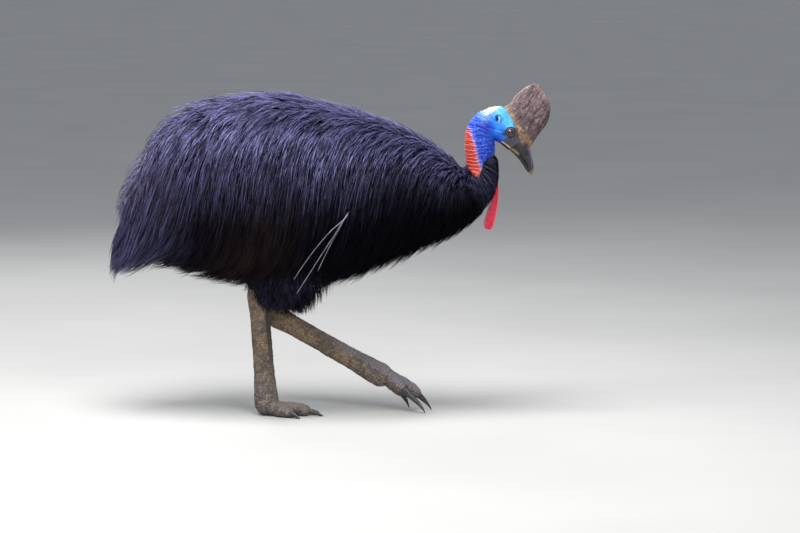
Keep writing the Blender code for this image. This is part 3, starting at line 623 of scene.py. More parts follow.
class Look:
    """A node material with short calls to add and join its nodes."""

    def __init__(self, name, **constants):
        self.material = bpy.data.materials.new(name)
        self.material.use_nodes = True
        self.tree = self.material.node_tree
        self.shader = self.tree.nodes["Principled BSDF"]
        for key, value in constants.items():
            self.shader.inputs[key.replace("_", " ")].default_value = value

    def add(self, kind, inputs, **settings):
        """Adds a node of a kind, with its settings and what each input is fed."""
        node = self.tree.nodes.new("ShaderNode" + kind)
        for key, value in settings.items():
            setattr(node, key, value)
        for key, value in inputs.items():
            self.feed(node.inputs[key], value)
        return node

    def feed(self, socket, value):
        """Links another node's socket to this one, or sets it to a number or a colour."""
        if isinstance(value, bpy.types.NodeSocket):
            self.tree.links.new(value, socket)
        elif socket.type == "RGBA":
            socket.default_value = (*value, 1)
        else:
            socket.default_value = value

    def where(self, stretch=(1, 1, 1)):
        """Places on the object, stretched along each axis."""
        place = self.add("TexCoord", {}).outputs["Object"]
        return self.add("Mapping", {"Vector": place, "Scale": stretch}).outputs["Vector"]

    def value(self, name, output="Fac"):
        """What each vertex keeps under a name."""
        return self.add("Attribute", {}, attribute_name=name).outputs[output]

    def noise(self, scale, detail, vector=None):
        inputs = {"Vector": vector or self.where(), "Scale": scale, "Detail": detail, "Roughness": 0.55}
        return self.add("TexNoise", inputs).outputs["Fac"]

    def cells(self, scale, vector=None):
        """The distance from the seams between cells."""
        inputs = {"Vector": vector or self.where(), "Scale": scale}
        return self.add("TexVoronoi", inputs, feature="DISTANCE_TO_EDGE").outputs["Distance"]

    def ramp(self, value, *stops):
        """A number or a colour for each value. Each stop: place, then a number or a colour."""
        node = self.add("ValToRGB", {"Fac": value})
        band = node.color_ramp
        while len(band.elements) < len(stops):
            band.elements.new(0.5)
        for element, (place, tone) in zip(band.elements, stops):
            element.position = place
            element.color = (*tone, 1) if hasattr(tone, "__len__") else (tone, tone, tone, 1)
        return node.outputs["Color"]

    def swing(self, value, first, second):
        """A number or a colour that goes from the first to the second over the middle of the value."""
        return self.ramp(value, (0.3, first), (0.7, second))

    def mix(self, share, first, second, blend="MIX"):
        inputs = {0: share, 6: first, 7: second}
        return self.add("Mix", inputs, data_type="RGBA", blend_type=blend).outputs[2]

    def maths(self, operation, first, second):
        return self.add("Math", {0: first, 1: second}, operation=operation).outputs[0]

    def paint(self, colour, roughness=None, height=None, depth=0.0, strength=0.0):
        """Joins a colour, a roughness and a height in metres to the shader."""
        self.feed(self.shader.inputs["Base Color"], colour)
        if roughness:
            self.feed(self.shader.inputs["Roughness"], roughness)
        if height:
            relief = self.add("Bump", {"Height": height, "Distance": depth, "Strength": strength})
            self.feed(self.shader.inputs["Normal"], relief.outputs["Normal"])
        return self.material


def feather_look(name):
    """Hair-like plumage: almost black, with a painted violet-blue sheen that differs from strand to strand.
    """
    look = Look(name, Metallic=0.3)
    shade, along = look.value("shade"), look.value("along")
    look.feed(look.shader.inputs["Specular IOR Level"], look.ramp(shade, (0.0, 0.06), (0.35, 0.55)))
    root = look.mix(shade, (0.0012, 0.001, 0.002), (0.018, 0.017, 0.042))
    # With the shade the tips' colour rises to a bright violet-blue: a painted highlight of the sheen.
    tip = look.mix(shade, (0.0016, 0.0013, 0.0032), (0.23, 0.225, 0.52))
    colour = look.mix(along, root, tip)
    warm = look.maths("MULTIPLY", look.value("worn"), look.ramp(along, (0.2, 0.2), (1.0, 1.0)))
    colour = look.mix(warm, colour, (0.06, 0.034, 0.026))
    return look.paint(colour, look.ramp(shade, (0.0, 0.62), (1.0, 0.36)))


def skin_look():
    """Bare skin. Its colours are painted by place, and fine wrinkles and pores run over them."""
    look = Look("bare_skin", Specular_IOR_Level=0.4)
    blotch = look.noise(120, 4)
    fine = look.noise(1100, 3)
    colour = look.mix(0.22, look.value("tint", "Color"), look.swing(blotch, 0.3, 0.78), "OVERLAY")
    seam = look.ramp(look.cells(820), (0.04, 0.0), (0.22, 1.0))
    pores = look.maths("MULTIPLY", look.maths("SUBTRACT", 1.0, seam), 0.16)
    colour = look.mix(pores, colour, (0.01, 0.012, 0.02))
    height = look.maths("ADD", seam, look.maths("MULTIPLY", fine, 0.45))
    rough = look.mix(look.value("scaled"), look.swing(blotch, 0.4, 0.56), (0.68, 0.68, 0.68))
    return look.paint(colour, rough, height, 0.0004, 0.4)


def horn_look():
    """The casque: dull mauve-brown horn, painted by place, with fine grain over it."""
    look = Look("casque_horn", Specular_IOR_Level=0.35)
    grain = look.noise(150, 5)
    fine = look.noise(620, 3)
    colour = look.mix(0.7, look.value("tint", "Color"), look.swing(grain, 0.1, 0.8), "OVERLAY")
    height = look.maths("ADD", grain, look.maths("MULTIPLY", fine, 0.5))
    return look.paint(colour, look.swing(grain, 0.46, 0.7), height, 0.001, 0.8)


def bill_look():
    """Dark grey horn, paler at its tip and edges, with faint streaks along it."""
    look = Look("bill_horn", Specular_IOR_Level=0.5)
    grain = look.noise(90, 4, look.where((2.4, 3, 0.8)))
    streaks = look.ramp(grain, (0.38, 0.0), (0.66, 0.6))
    colour = look.mix(streaks, look.value("tint", "Color"), (0.01, 0.008, 0.012))
    return look.paint(colour, look.swing(grain, 0.34, 0.55), grain, 0.0006, 0.7)


def wattle_look():
    """Soft crimson skin, paler on its edges, with a darker line down it."""
    look = Look("wattle_skin", Specular_IOR_Level=0.35, Subsurface_Weight=0.1, Subsurface_Scale=0.004)
    pebbles = look.cells(520, look.where((1, 1, 0.6)))
    mottle = look.noise(120, 3)
    seam = look.ramp(pebbles, (0.02, 0.0), (0.22, 1.0))
    colour = look.mix(seam, (0.42, 0.01, 0.035), (0.66, 0.024, 0.07))
    colour = look.mix(look.ramp(mottle, (0.45, 0.0), (0.75, 0.35)), colour, (0.8, 0.09, 0.15))
    colour = look.mix(look.value("rim"), colour, (0.86, 0.21, 0.27))
    colour = look.mix(look.value("line"), colour, (0.26, 0.006, 0.02))
    return look.paint(colour, look.swing(mottle, 0.44, 0.6), pebbles, 0.0005, 0.6)


def claw_look():
    """Dark worn horn, streaked along the claw and greyer at the tip."""
    look = Look("claw_horn", Specular_IOR_Level=0.5)
    grain = look.noise(110, 4, look.where((0.5, 2.2, 2.2)))
    stops = (0.3, (0.014, 0.012, 0.012)), (0.6, (0.05, 0.044, 0.042)), (0.8, (0.13, 0.11, 0.1))
    return look.paint(look.ramp(grain, *stops), look.swing(grain, 0.28, 0.5), grain, 0.0006, 0.6)


def quill_look():
    """Smooth bare shafts, pale violet-grey."""
    look = Look("quill_shaft", Specular_IOR_Level=0.5)
    grain = look.noise(60, 3, look.where((1, 1, 0.3)))
    colour = look.swing(grain, (0.1, 0.092, 0.13), (0.26, 0.24, 0.3))
    return look.paint(colour, look.swing(grain, 0.3, 0.46), grain, 0.0003, 0.4)


def eye_look():
    """A dark red-brown iris round a black pupil, under a wet clear surface."""
    look = Look("eye_wet", Roughness=0.06, Specular_IOR_Level=0.5, Coat_Weight=0.6, Coat_Roughness=0.02)
    out = look.value("out")
    iris = look.swing(look.noise(700, 4), (0.03, 0.004, 0.003), (0.105, 0.016, 0.009))
    colour = look.mix(look.ramp(out, (0.17, 0.0), (0.22, 1.0)), (0.001, 0.001, 0.001), iris)
    colour = look.mix(look.ramp(out, (0.4, 0.0), (0.54, 1.0)), colour, (0.005, 0.003, 0.003))
    return look.paint(colour)


def floor_look():
    """A plain pale floor, barely mottled."""
    look = Look("pale_floor", Roughness=0.75, Specular_IOR_Level=0.2)
    return look.paint(look.swing(look.noise(1.2, 2), (0.43, 0.425, 0.41), (0.46, 0.455, 0.44)))


# The coat


def trunk_lie(key, turn, t):
    """How plumage lies on the trunk: back along the spine above and below, and down the flanks."""
    flank = np.sin(turn) ** 2
    sides = 0.2 + 0.34 * np.clip((6.5 - key) / 2.5, 0, 1) + 0.1 * np.clip(key - CHEST + 1, 0, 1)
    sides = sides + 0.25 * step(key, 14.6, 16.0)
    back = 1 - (1 - sides) * flank ** 0.8
    down = np.sqrt(np.maximum(0, 1 - back * back)) * np.where(np.abs(turn) < 2.5, 1, 0.4)
    return -back, np.copysign(down * (0.75 + 0.5 * t), turn)


def drumstick_lie(key, turn, t):
    """Plumage on the drumstick lies straight down the leg."""
    return np.ones_like(key), np.zeros_like(key)


def sizes_at(table, keys):
    """Spacing, length, spread and strand width of the coat at given rings."""
    return [np.interp(keys, table[:, 0], table[:, column]) for column in range(1, 5)]


def scattered(surface, table, start, end, draw):
    """Roots spread over a surface between two keys, each moved a little from an even grid."""
    sparse = full_or_quick(1.0, 1.6)
    fine = np.linspace(start, end, 400)
    pace = np.linalg.norm(np.gradient(surface(fine, math.pi / 2, 0), fine, axis=0), axis=1)
    rows_passed = np.cumsum(pace * (fine[1] - fine[0]) / (sizes_at(table, fine)[0] * sparse * ROW_SPACING))
    keys, turns = [], []
    for row in range(int(rows_passed[-1])):
        key = float(np.interp(row + 0.5, rows_passed, fine))
        ring = surface(key, np.linspace(0, math.tau, 60), 0)
        spacing = float(sizes_at(table, key)[0]) * sparse
        count = max(6, round(np.linalg.norm(np.diff(ring, axis=0), axis=1).sum() / spacing))
        places = (np.arange(count) + 0.5 * (row % 2) + draw.uniform(-0.35, 0.35, count)) / count
        turns.append(places * math.tau - math.pi)
        keys.append(np.interp(row + 0.5 + draw.uniform(-0.4, 0.4, count), rows_passed, fine))
    return np.concatenate(keys), np.concatenate(turns)


def lie_paths(surface, lie, key, turn, length, reach, rise, sway, base, stop, sag):
    """Centre lines of tufts and the way out at each point: from their roots, along the lie, up to
    the tips of the plumage, with a sag towards the floor. Past the end of the tail they hang on
    freely."""
    path = np.empty((PATH_STEPS + 1, len(key), 3))
    out = np.empty_like(path)
    small = 0.01
    stride = length / PATH_STEPS
    fall = stride[:, None] * (0, 0, -TAIL_FALL)
    for i in range(PATH_STEPS + 1):
        t = i / PATH_STEPS
        coat = base + (reach - base) * (1 - (1 - t) ** rise) - TIP_TUCK * t * t
        path[i] = surface(key, turn, coat)
        out[i] = surface(key, turn, 1.0) - surface(key, turn, -1.0)
        if i > 1:
            onward = (path[i - 1] - path[i - 2]) * TAIL_ONWARD
            path[i] = np.where((key <= stop)[:, None], path[i - 1] + (onward + fall), path[i])
        at = surface(key, turn, 0.6)
        per_key = np.linalg.norm(surface(key + small, turn, 0.6) - at, axis=-1) / small
        per_turn = np.linalg.norm(surface(key, turn + small, 0.6) - at, axis=-1) / small
        along, around = lie(key, turn, t)
        key = np.maximum(stop, key + along * stride / np.maximum(per_key, 0.02))
        turn = turn + (around + sway * math.sin(math.pi * t)) * stride / np.maximum(per_turn, 0.03)
    path += sag * (np.arange(PATH_STEPS + 1) / PATH_STEPS)[:, None, None] ** 1.5
    return path, out


def strand_points(path, out, spread, width, draw):
    """Points of the strands by tuft, strand and point, and how far along its strand each point is.
    The strands of a tuft leave its root side by side and close up towards its tip."""
    count = path.shape[1]
    shape = (count, STRANDS)
    forward = np.gradient(path, axis=0)
    across = unit(np.cross(forward, out))
    normal = unit(np.cross(across, forward))
    part = draw.uniform(0.66, 1.0, shape)
    first_side, last_side = draw.uniform(-1, 1, shape), draw.uniform(-0.95, 0.95, shape)
    first_up, last_up = draw.uniform(-0.5, 0.5, shape), draw.uniform(-0.45, 0.45, shape)
    wave, phase = draw.uniform(0.6, 1.5, shape), draw.uniform(0, math.tau, shape)
    size = width[:, None] * draw.uniform(0.7, 1.15, shape)
    tuft = np.arange(count)[:, None]
    points, alongs = [], []
    for t, taper in STRAND:
        place = t * part * PATH_STEPS
        low = np.minimum(place.astype(int), PATH_STEPS - 1)
        share = (place - low)[..., None]
        centre, aside, up = (line[low, tuft] * (1 - share) + line[low + 1, tuft] * share
                             for line in (path, across, normal))
        wander = np.sin(math.tau * wave * t + phase) * 0.34 * t
        off_side = (first_side * (1 - t) + last_side * t + wander) * spread[:, None]
        off_up = (first_up * (1 - t) + last_up * t) * spread[:, None] * 0.6
        centre = centre + aside * off_side[..., None] + up * off_up[..., None]
        ring = [centre]
        if taper:
            edge = aside * (size * taper * 0.5)[..., None]
            lift = up * (size * taper * 0.32)[..., None]
            ring = [centre - edge - lift * 0.5, centre + lift, centre + edge - lift * 0.5]
        points += ring
        alongs += [t] * len(ring)
    return np.stack(points, axis=2), np.array(alongs)


def strand_faces():
    """The faces of one strand: its root, the sides between its rings of three points, and its tip."""
    sides = (0, 1), (1, 2), (2, 0)
    top = 3 * (len(STRAND) - 2)
    faces = [(0, 2, 1)]
    for start in range(0, top, 3):
        for a, b in sides:
            faces += [(start + a, start + b, start + b + 3), (start + a, start + b + 3, start + a + 3)]
    return np.array(faces + [(top + a, top + b, top + 3) for a, b in sides])


def strand_mesh(name, points, look):
    """One mesh of all the strands, and the corners of its faces."""
    places = points.reshape(-1, 3)
    first = np.arange(0, len(places), points.shape[2])
    faces = (first[:, None, None] + strand_faces()).reshape(-1, 3)
    mesh = bpy.data.meshes.new(name)
    mesh.vertices.add(len(places))
    mesh.vertices.foreach_set("co", places.astype(np.float32).ravel())
    mesh.loops.add(faces.size)
    mesh.loops.foreach_set("vertex_index", faces.astype(np.int32).ravel())
    mesh.polygons.add(len(faces))
    mesh.polygons.foreach_set("loop_start", np.arange(0, faces.size, 3, dtype=np.int32))
    mesh.update(calc_edges=True)
    mesh.shade_smooth()
    mesh.materials.append(look)
    return placed(name, mesh), faces.ravel()


def write_map(mesh, key, turn, alongs, corners):
    """Lays each strand out as a small upright strip at its root's place on the unrolled surface."""
    patch = np.empty((len(key), STRANDS, len(alongs), 2))
    strip = ((np.arange(STRANDS) + 0.5) / STRANDS - 0.5)[:, None]
    for axis, root, off in (
        (0, (turn / math.tau + 0.5) % 1.0, strip),
        (1, (key - key.min()) / (key.max() - key.min()), alongs - 0.5),
    ):
        patch[..., axis] = (0.02 + 0.96 * root)[:, None, None] + off * PATCH * 0.9
    layer = mesh.uv_layers.new(name="OFBake")
    layer.data.foreach_set("uv", patch.reshape(-1, 2)[corners].astype(np.float32).ravel())


def trunk_painted_sheen(key, turn):
    """How strongly plumage shines, painted into its colour too: a painted highlight most on the back and
    the tail, painted shade on the breast and below.
    """
    from_back = np.abs(turn)
    painted_sheen = 0.04 + 1.9 * step(from_back, 1.52, 0.45)
    painted_sheen = painted_sheen * (1 - 0.85 * step(key, 9.0, 11.4) * step(from_back, 0.2, 0.95))
    painted_sheen = np.maximum(painted_sheen, 1.4 * step(key, 6.8, 4.2))
    return np.maximum(painted_sheen, 0.5 * step(key, 14.2, 15.4) * step(from_back, 2.8, 2.1))


def wear(places):
    """How brown the plumage has worn: in one patch on the flank and one on the rump."""
    x, _, z = places.T
    return bump(x, -0.17, 0.12) * bump(z, 0.64, 0.12) + 0.7 * bump(x, -0.47, 0.1) * step(z, 0.66, 0.76)


def build_coat(name, seed, surface, lie, table, start, end, keep, hem=None, lean=0.0):
    """One piece of the coat, grown over a surface between two keys. On a leg no tuft hangs past the
    hem, and lean is how far the tips swing forward, for each metre of their length."""
    draw = np.random.default_rng(SEED + seed)
    key, turn = scattered(surface, table, start, end, draw)
    chosen = keep(key, turn)
    key, turn = key[chosen], turn[chosen]
    count = len(key)
    on_trunk = surface is trunk
    _, length, spread, width = sizes_at(table, key)
    length = length * draw.uniform(0.72, 1.18, count)
    if hem:
        length = np.minimum(length, np.maximum(hem(key, turn), 0.016) * draw.uniform(0.95, 1.25, count))
    reach = draw.uniform(0.72, 1.05, count)
    if on_trunk:
        reach *= 0.45 + 0.55 * step(key, 2.6, 4.2)
        reach += 0.7 * step(key, 14.8, 16.2)
    rise = draw.uniform(1.4, 3.0, count)
    sway = draw.normal(0, 0.12, count)
    stop = draw.uniform(0.1, 1.3, count)
    loose = draw.uniform(0.006, 0.034, count)
    sag = np.zeros((count, 3))
    if on_trunk:
        base = np.interp(key, (14.3, 15.3, 17.5), (-1, -0.3, -0.02))
        painted_sheen = trunk_painted_sheen(key, turn)
        sag[:, 2] = -step(np.abs(turn), 1.55, 2.5) * loose * step(key, 14.5, 12.5)
    else:
        base = np.full(count, -1.0)
        painted_sheen = np.full(count, LEG_PAINTED_SHEEN)
        swing = np.maximum(0.5 + 0.5 * np.cos(turn), step(key, 3.0, 4.0))
        sag[:, 0] = lean * length * swing * draw.uniform(0.8, 1.1, count)
        sag[:, 2] = -0.1 * length
    path, out = lie_paths(surface, lie, key, turn, length, reach, rise, sway, base, stop, sag)
    worn = wear(surface(key, turn, 0.0)) * draw.uniform(0, 0.8, count)

    spread, width = spread * full_or_quick(1.0, 1.5), width * full_or_quick(1.0, 1.8)
    points, alongs = strand_points(path, out, spread, width, draw)
    # A random tone for each strand, times the painted sheen of its place: painted highlight and painted
    # shade.
    shade = draw.beta(0.95, 2.6, (count, STRANDS)) + draw.normal(0, 0.09, count)[:, None]
    shade = np.clip(shade, 0, 1) * painted_sheen[:, None]
    thing, corners = strand_mesh(name, points, feather_look(name))
    for label, values in (("along", alongs), ("shade", shade[..., None]), ("worn", worn[:, None, None])):
        write_values(thing, label, np.broadcast_to(values, points.shape[:3]).ravel())
    write_map(thing.data, key, turn, alongs, corners)
    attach(thing, "root")


def build_coats():
    """The whole coat, in pieces that each stay under the limit of triangles."""
    for seed, (band, start, end) in enumerate(BANDS):
        for side in OUTWARD:
            def keep(key, turn):
                return (turn > 0) == (side == "right")

            build_coat(f"coat_{band}_{side}", seed, trunk, trunk_lie, TRUNK_COAT, start, end, keep)
    build_coat("coat_neck", 8, trunk, trunk_lie, TRUNK_COAT, COLLAR, 17.3, below_ruff)
    for side, (end, lean, front, rear) in CUFF.items():
        surface = drumstick(side)

        def above_hem(key, turn):
            height = front + (rear - front) * step(-np.cos(turn), -0.2, 0.8)
            return surface(key, turn, 0.4)[:, 2] - height

        def keep(key, turn):
            return above_hem(key, turn) > 0.008

        build_coat("coat_leg_" + side, 9, surface, drumstick_lie, LEG_COAT, 0.6, end, keep, above_hem, lean)


def past_ruff(key, turn):
    """How many keys past the edge of the neck's plumage a place is."""
    return key - np.interp(np.abs(turn), *NECK_EDGE)


def below_ruff(key, turn):
    """Where the neck is feathered: low on its nape and the red point, and high on its throat."""
    return past_ruff(key, turn) < 0


# Skin


def build_skin(look):
    """One skin from tail to head and down both legs, which lies under the coat."""
    turns = np.linspace(0, math.tau, 48, endpoint=False)
    keys = np.linspace(TAIL_ROOT - 0.2, NECK_START + 0.4, 70)
    covered = [loft("body", [trunk(key, turns, SKIN_DEPTH) for key in keys])]
    for side in OUTWARD:
        surface = drumstick(side)
        keys = np.linspace(0, DRUMSTICK_END, 30)
        covered.append(loft("thigh", [surface(key, -turns, SKIN_DEPTH) for key in keys]))
    for thing in covered:
        count = len(thing.data.vertices)
        write_values(thing, "tint", np.tile(COVERED_SKIN, (count, 1)))
        write_values(thing, "scaled", np.zeros(count))
    skin = joined([*covered, build_head(), *map(build_leg, OUTWARD)], "skin")
    skin.data.materials.clear()
    skin.data.materials.append(look)
    finish_piece(skin, "blue_skin", *FLESH)


def lid_ring(side):
    """The lids as one soft ring round the eye, heavier above and drawn to a corner fore and aft."""
    points = []
    for a in circle(40):
        wide = 1 + 0.14 * math.cos(2 * a)
        thick = LID_THICKNESS * (1 + 0.35 * max(0, math.sin(a)))
        for b in circle(12):
            reach = LID_RADIUS + thick * math.cos(b)
            out = LID_OUT + thick * 0.8 * math.sin(b)
            points.append(on_head(reach * math.cos(a) * wide, side * out, reach * math.sin(a)))
    return add_mesh("lid", points, ring_faces(40, 12, closed=True))


def build_head():
    """The head and neck, melted from a few forms, then wrinkled, folded and painted."""
    keys = np.linspace(NECK_START, CROWN, 60)
    turns = np.linspace(0, math.tau, 56, endpoint=False)
    neck = loft("neck", [trunk(key, turns, 0.0) for key in keys])
    skull = loft("skull", head_rings(SKULL, 40, 48, 2.15))
    head = melted([neck, skull, lid_ring(-1), lid_ring(1)], "head_skin", full_or_quick(*HEAD_VOXELS), 4)
    places, normals = points_of(head)
    face = Face(places)
    emboss(head, places, normals, head_relief(face))
    write_values(head, "tint", head_colours(face))
    write_values(head, "scaled", np.zeros(len(places)))
    return head


class Face:
    """Where points of the head and neck lie, in the measures that their relief and colours share."""

    def __init__(self, places):
        self.places = places
        self.forward, side, self.up = head_frame(places)
        self.aside = np.abs(side)
        self.side_on = step(self.aside, 0.014, 0.022)
        self.from_face = np.hypot(self.forward + 0.014, self.up + 0.004)
        self.from_eye = np.hypot(self.forward, self.up * 1.05)
        ear = on_head(EAR[0], 0, EAR[1])
        self.ear_x, self.ear_z = places[:, 0] - ear.x, places[:, 2] - ear.z
        self.off_gape = self.up - (GAPE[1] + GAPE_SLOPE * (self.forward - GAPE[0]))
        self.lips = (step(self.forward, GAPE[0] - 0.004, GAPE[0] + 0.002) * step(self.aside, 0.006, 0.012)
                     * step(self.up, -0.056, -0.048))

        # The bare neck: the blue cells round it, the rings of its nape and its wide folds.
        passed, turn, key = along_neck(places)
        drift = clouds(places, 0.016, 1)
        self.drift = drift
        self.above_ruff = past_ruff(key, turn)
        self.bare = step(self.above_ruff, -0.1, 0.1)
        self.on_neck = self.bare * step(self.from_face, 0.044, 0.06)
        self.nape = step(np.abs(turn), 1.25, 0.55)
        self.cell, self.own = paving(passed / 0.005 + 0.9 * drift, (turn / math.tau + 0.5) * 46, 46, 2)
        self.ring = np.sin(math.tau * (passed / 0.0047 + 0.35 * drift + 0.25 * np.sin(turn * 4)))
        self.fold = np.sin(math.tau * (passed / 0.0125 + 0.55 * clouds(places, 0.03, 4)))
        self.ray = np.sin(58 * np.arctan2(self.up + 0.014, -self.forward - 0.03) + 2.0 * drift)

    def spot(self, forward, up, spread, squash=1.0):
        """A soft spot on both sides of the head."""
        return bump(np.hypot(self.forward - forward, (self.up - up) * squash), 0, spread)

    def ear_spot(self, x, z, wide, tall):
        """A soft upright mark beside the ear."""
        return bump(self.ear_x, x, wide) * bump(self.ear_z, z, tall)

    def ear_arc(self, radius, wide):
        """A soft arc round the back of the ear."""
        return bump(np.hypot(self.ear_x - 0.003, self.ear_z * 0.8), radius, wide)


def along_neck(places):
    """How far up the neck each point is, in metres, its turn round the spine, and its key."""
    keys = np.linspace(COLLAR - 1, CROWN, 240)
    rows = rows_at(TRUNK, keys)
    spine = rows[:, :2]
    nearest = nearest_on(spine, places[:, [0, 2]])
    tilt = np.radians(rows[nearest, 2])
    c, s = np.cos(tilt), np.sin(tilt)
    x, z = (places[:, [0, 2]] - spine[nearest]).T
    turn = np.arctan2(-places[:, 1], c * z - s * x)
    return lengths_along(spine)[nearest] + c * x + s * z, turn, keys[nearest]


def head_relief(face):
    """How far the skin of the head and neck stands out or in at each point."""
    scales = (1 - face.nape) * 0.0011 * face.cell + face.nape * 0.0006 * (0.4 * face.cell + face.ring)
    height = face.on_neck * (scales + 0.0007 * face.fold)
    height += face.bare * (1 - face.on_neck) * 0.00035 * clouds(face.places, 0.0042, 6)

    slot = face.ear_spot(0, 0, 0.0026, 0.0062)
    flap = face.ear_spot(0.006, 0.0005, 0.0024, 0.0085)
    hood = face.ear_arc(0.0118, 0.0024) * step(face.ear_z, -0.006, 0.003)
    height += face.side_on * (0.0022 * flap + 0.0016 * hood - 0.0068 * slot)

    cheek = face.spot(-0.0216, -0.0313, 0.016, 0.75)
    crease = bump(face.up + 0.034 - 0.95 * (face.forward + 0.034), 0, 0.003)
    crease = crease * step(face.forward, 0.0, -0.016) * step(face.forward, -0.058, -0.04)
    height += face.side_on * (0.003 * cheek - 0.0016 * crease)
    lid_fold, lid_groove = bump(face.from_eye, 0.017, 0.0016), bump(face.from_eye, 0.0148, 0.0012)
    height += face.side_on * (0.0014 * lid_fold - 0.0012 * lid_groove)
    brow = bump(face.up, 0.0155 - 0.1 * face.forward, 0.0038) * bump(face.forward, 0.004, 0.022)
    height += 0.0022 * step(face.aside, 0.01, 0.02) * brow
    wrinkles = np.sin(math.tau * (face.up + 0.5 * face.forward) / 0.0046 + 1.5 * face.drift)
    wrinkled = face.side_on * face.spot(-0.018, -0.02, 0.03) * step(face.from_eye, 0.0155, 0.0185)
    height += 0.00045 * wrinkled * wrinkles
    height += face.lips * 0.0013 * bump(face.off_gape, 0.0018, 0.0011)
    return height - face.lips * 0.0014 * bump(face.off_gape, 0.0, 0.0007)


def head_colours(face):
    """The skin's colours by place: cobalt neck, sky-blue face, pale crown, red nape, dark lores."""
    x, _, z = face.places.T
    forward, up, on_neck = face.forward, face.up, face.on_neck
    mottle = clouds(face.places, 0.0065, 9)
    coarse = clouds(face.places, 0.018, 12)
    paint = Paint(len(x), (0.004, 0.04, 0.56))
    # The cobalt neck: darker in random patches, paler azure on the middles of some raised cells, partly
    # their own tone and partly a painted highlight, and navy in the seams between cells as painted shade in
    # the creases.
    paint.lay(0.65 * on_neck * step(coarse, -0.2, 0.6), (0.002, 0.014, 0.28))
    paint.lay(0.8 * on_neck * face.cell * step(face.own, 0.4, 0.95), (0.014, 0.16, 0.8))
    paint.lay(0.95 * on_neck * (1 - face.cell) * (1 - face.nape), (0.001, 0.003, 0.07))

    # The deep band behind the cheek, the bright cheek, and the paler sides above it.
    paint.lay(0.75 * step(up, -0.044, -0.018) * step(face.from_face, 0.078, 0.056), (0.022, 0.25, 0.76))
    paint.lay(0.85 * face.spot(-0.046, -0.052, 0.02), (0.002, 0.014, 0.3))
    paint.lay(0.9 * face.spot(-0.0216, -0.0313, 0.017, 0.7), (0.012, 0.19, 0.87))
    paint.lay(0.65 * face.spot(-0.006, -0.042, 0.011), (0.004, 0.06, 0.48))
    sky = step(up, -0.012, 0.006) * step(forward, 0.014, -0.006)
    paint.lay(0.9 * sky, (0.07, 0.39, 0.6))
    paint.lay(0.6 * sky * step(mottle, 0.0, 0.8), (0.15, 0.52, 0.66))
    paint.lay(0.45 * sky * step(-mottle, 0.1, 0.9), (0.02, 0.22, 0.52))

    # The pale crown, and the dark lines that run over it and down the back of the head.
    edge_on = step(forward, -0.058, -0.076) * step(up, -0.062, -0.04)
    cream = step(forward + 0.1 * face.aside, -0.071, -0.081) * step(up, -0.046, -0.022)
    lines = step(face.ray, 0.45, 0.95) * step(face.from_face, 0.056, 0.066)
    paint.lay(0.5 * edge_on, (0.06, 0.3, 0.52))
    paint.lay(0.92 * cream, (0.6, 0.64, 0.44))
    paint.lay(0.8 * edge_on * lines, (0.012, 0.035, 0.07))
    paint.lay(0.4 * edge_on * step(-face.ray, 0.5, 1.0), (0.52, 0.64, 0.66))

    # The red nape, with a seam of pale scallops where it meets the blue, lighter red on the ridges of its
    # rings as a painted highlight and dark red in their furrows as painted shade.
    border = x - (0.409 + (0.84 - z) * 0.27) + 0.0028 * face.ring + 0.003 * face.drift
    high = step(z, 0.856, 0.836)
    red = step(border, 0.004, -0.004) * high
    paint.lay(0.8 * bump(border, 0.004, 0.006) * high * step(face.ring, -0.2, 0.5), (0.74, 0.42, 0.44))
    paint.lay(red, (0.56, 0.045, 0.022))
    paint.lay(0.7 * red * step(face.ring, 0.3, 1.0), (0.74, 0.19, 0.12))
    paint.lay(0.8 * red * step(-face.ring, 0.2, 0.9), (0.17, 0.008, 0.01))

    # The ear: a pale flap before a dark slot, painted near-black as the shade in the ear's opening, and a
    # dark arc behind.
    arc = face.ear_arc(0.0088, 0.0015) * step(face.ear_x + face.ear_z, -0.006, 0)
    paint.lay(0.9 * face.ear_spot(0.0058, 0, 0.0026, 0.0085), (0.3, 0.6, 0.7))
    paint.lay(0.8 * arc, (0.006, 0.03, 0.09))
    paint.lay(1.4 * face.ear_spot(-0.0003, 0, 0.0034, 0.0072), (0.002, 0.006, 0.016))

    # The face: dark grey-brown lores, a dark rim round the eye, and a dark patch below and behind it.
    lores = step(forward + 0.35 * (up + 0.012), -0.001, 0.01) * step(up, 0.04, 0.02)
    paint.lay(0.97 * lores, (0.06, 0.048, 0.052))
    paint.lay(0.8 * lores * step(mottle, -0.1, 0.8), (0.15, 0.115, 0.105))
    paint.lay(0.6 * lores * step(-coarse, 0.0, 0.8), (0.016, 0.013, 0.017))
    paint.lay(0.9 * step(face.from_eye, 0.0182, 0.014), (0.024, 0.019, 0.021))
    paint.lay(0.6 * bump(face.from_eye, 0.0122, 0.0014) * step(mottle, -0.3, 0.6), (0.085, 0.062, 0.055))
    paint.lay(0.95 * face.spot(-0.007, -0.0165, 0.0078), (0.006, 0.007, 0.016))
    paint.lay(0.8 * step(up, 0.0215, 0.0275) * step(mottle, -0.4, 0.5), (0.24, 0.15, 0.095))

    # The pale lips, the dark gape between them painted as the shade in its groove, painted shade on the
    # skin below the gape, and the plumage's skin below the bare neck.
    lip = face.lips * bump(face.off_gape, 0.0012, 0.0019)
    paint.lay(1.3 * lip, (0.76, 0.6, 0.23))
    paint.lay(0.9 * lip * step(forward, 0.022, 0.012), (0.62, 0.68, 0.7))
    paint.lay(0.85 * face.lips * bump(face.off_gape, -0.0006, 0.0007), BLACK)
    paint.lay(0.93 * face.lips * step(face.off_gape, -0.001, -0.003), (0.012, 0.014, 0.03))
    # The plumage's skin below the bare neck: near-black, partly its own dark colour and partly painted
    # shade deep in the coat.
    paint.lay(step(face.above_ruff, -0.02, -0.22), (0.004, 0.0035, 0.007))
    return paint.colours


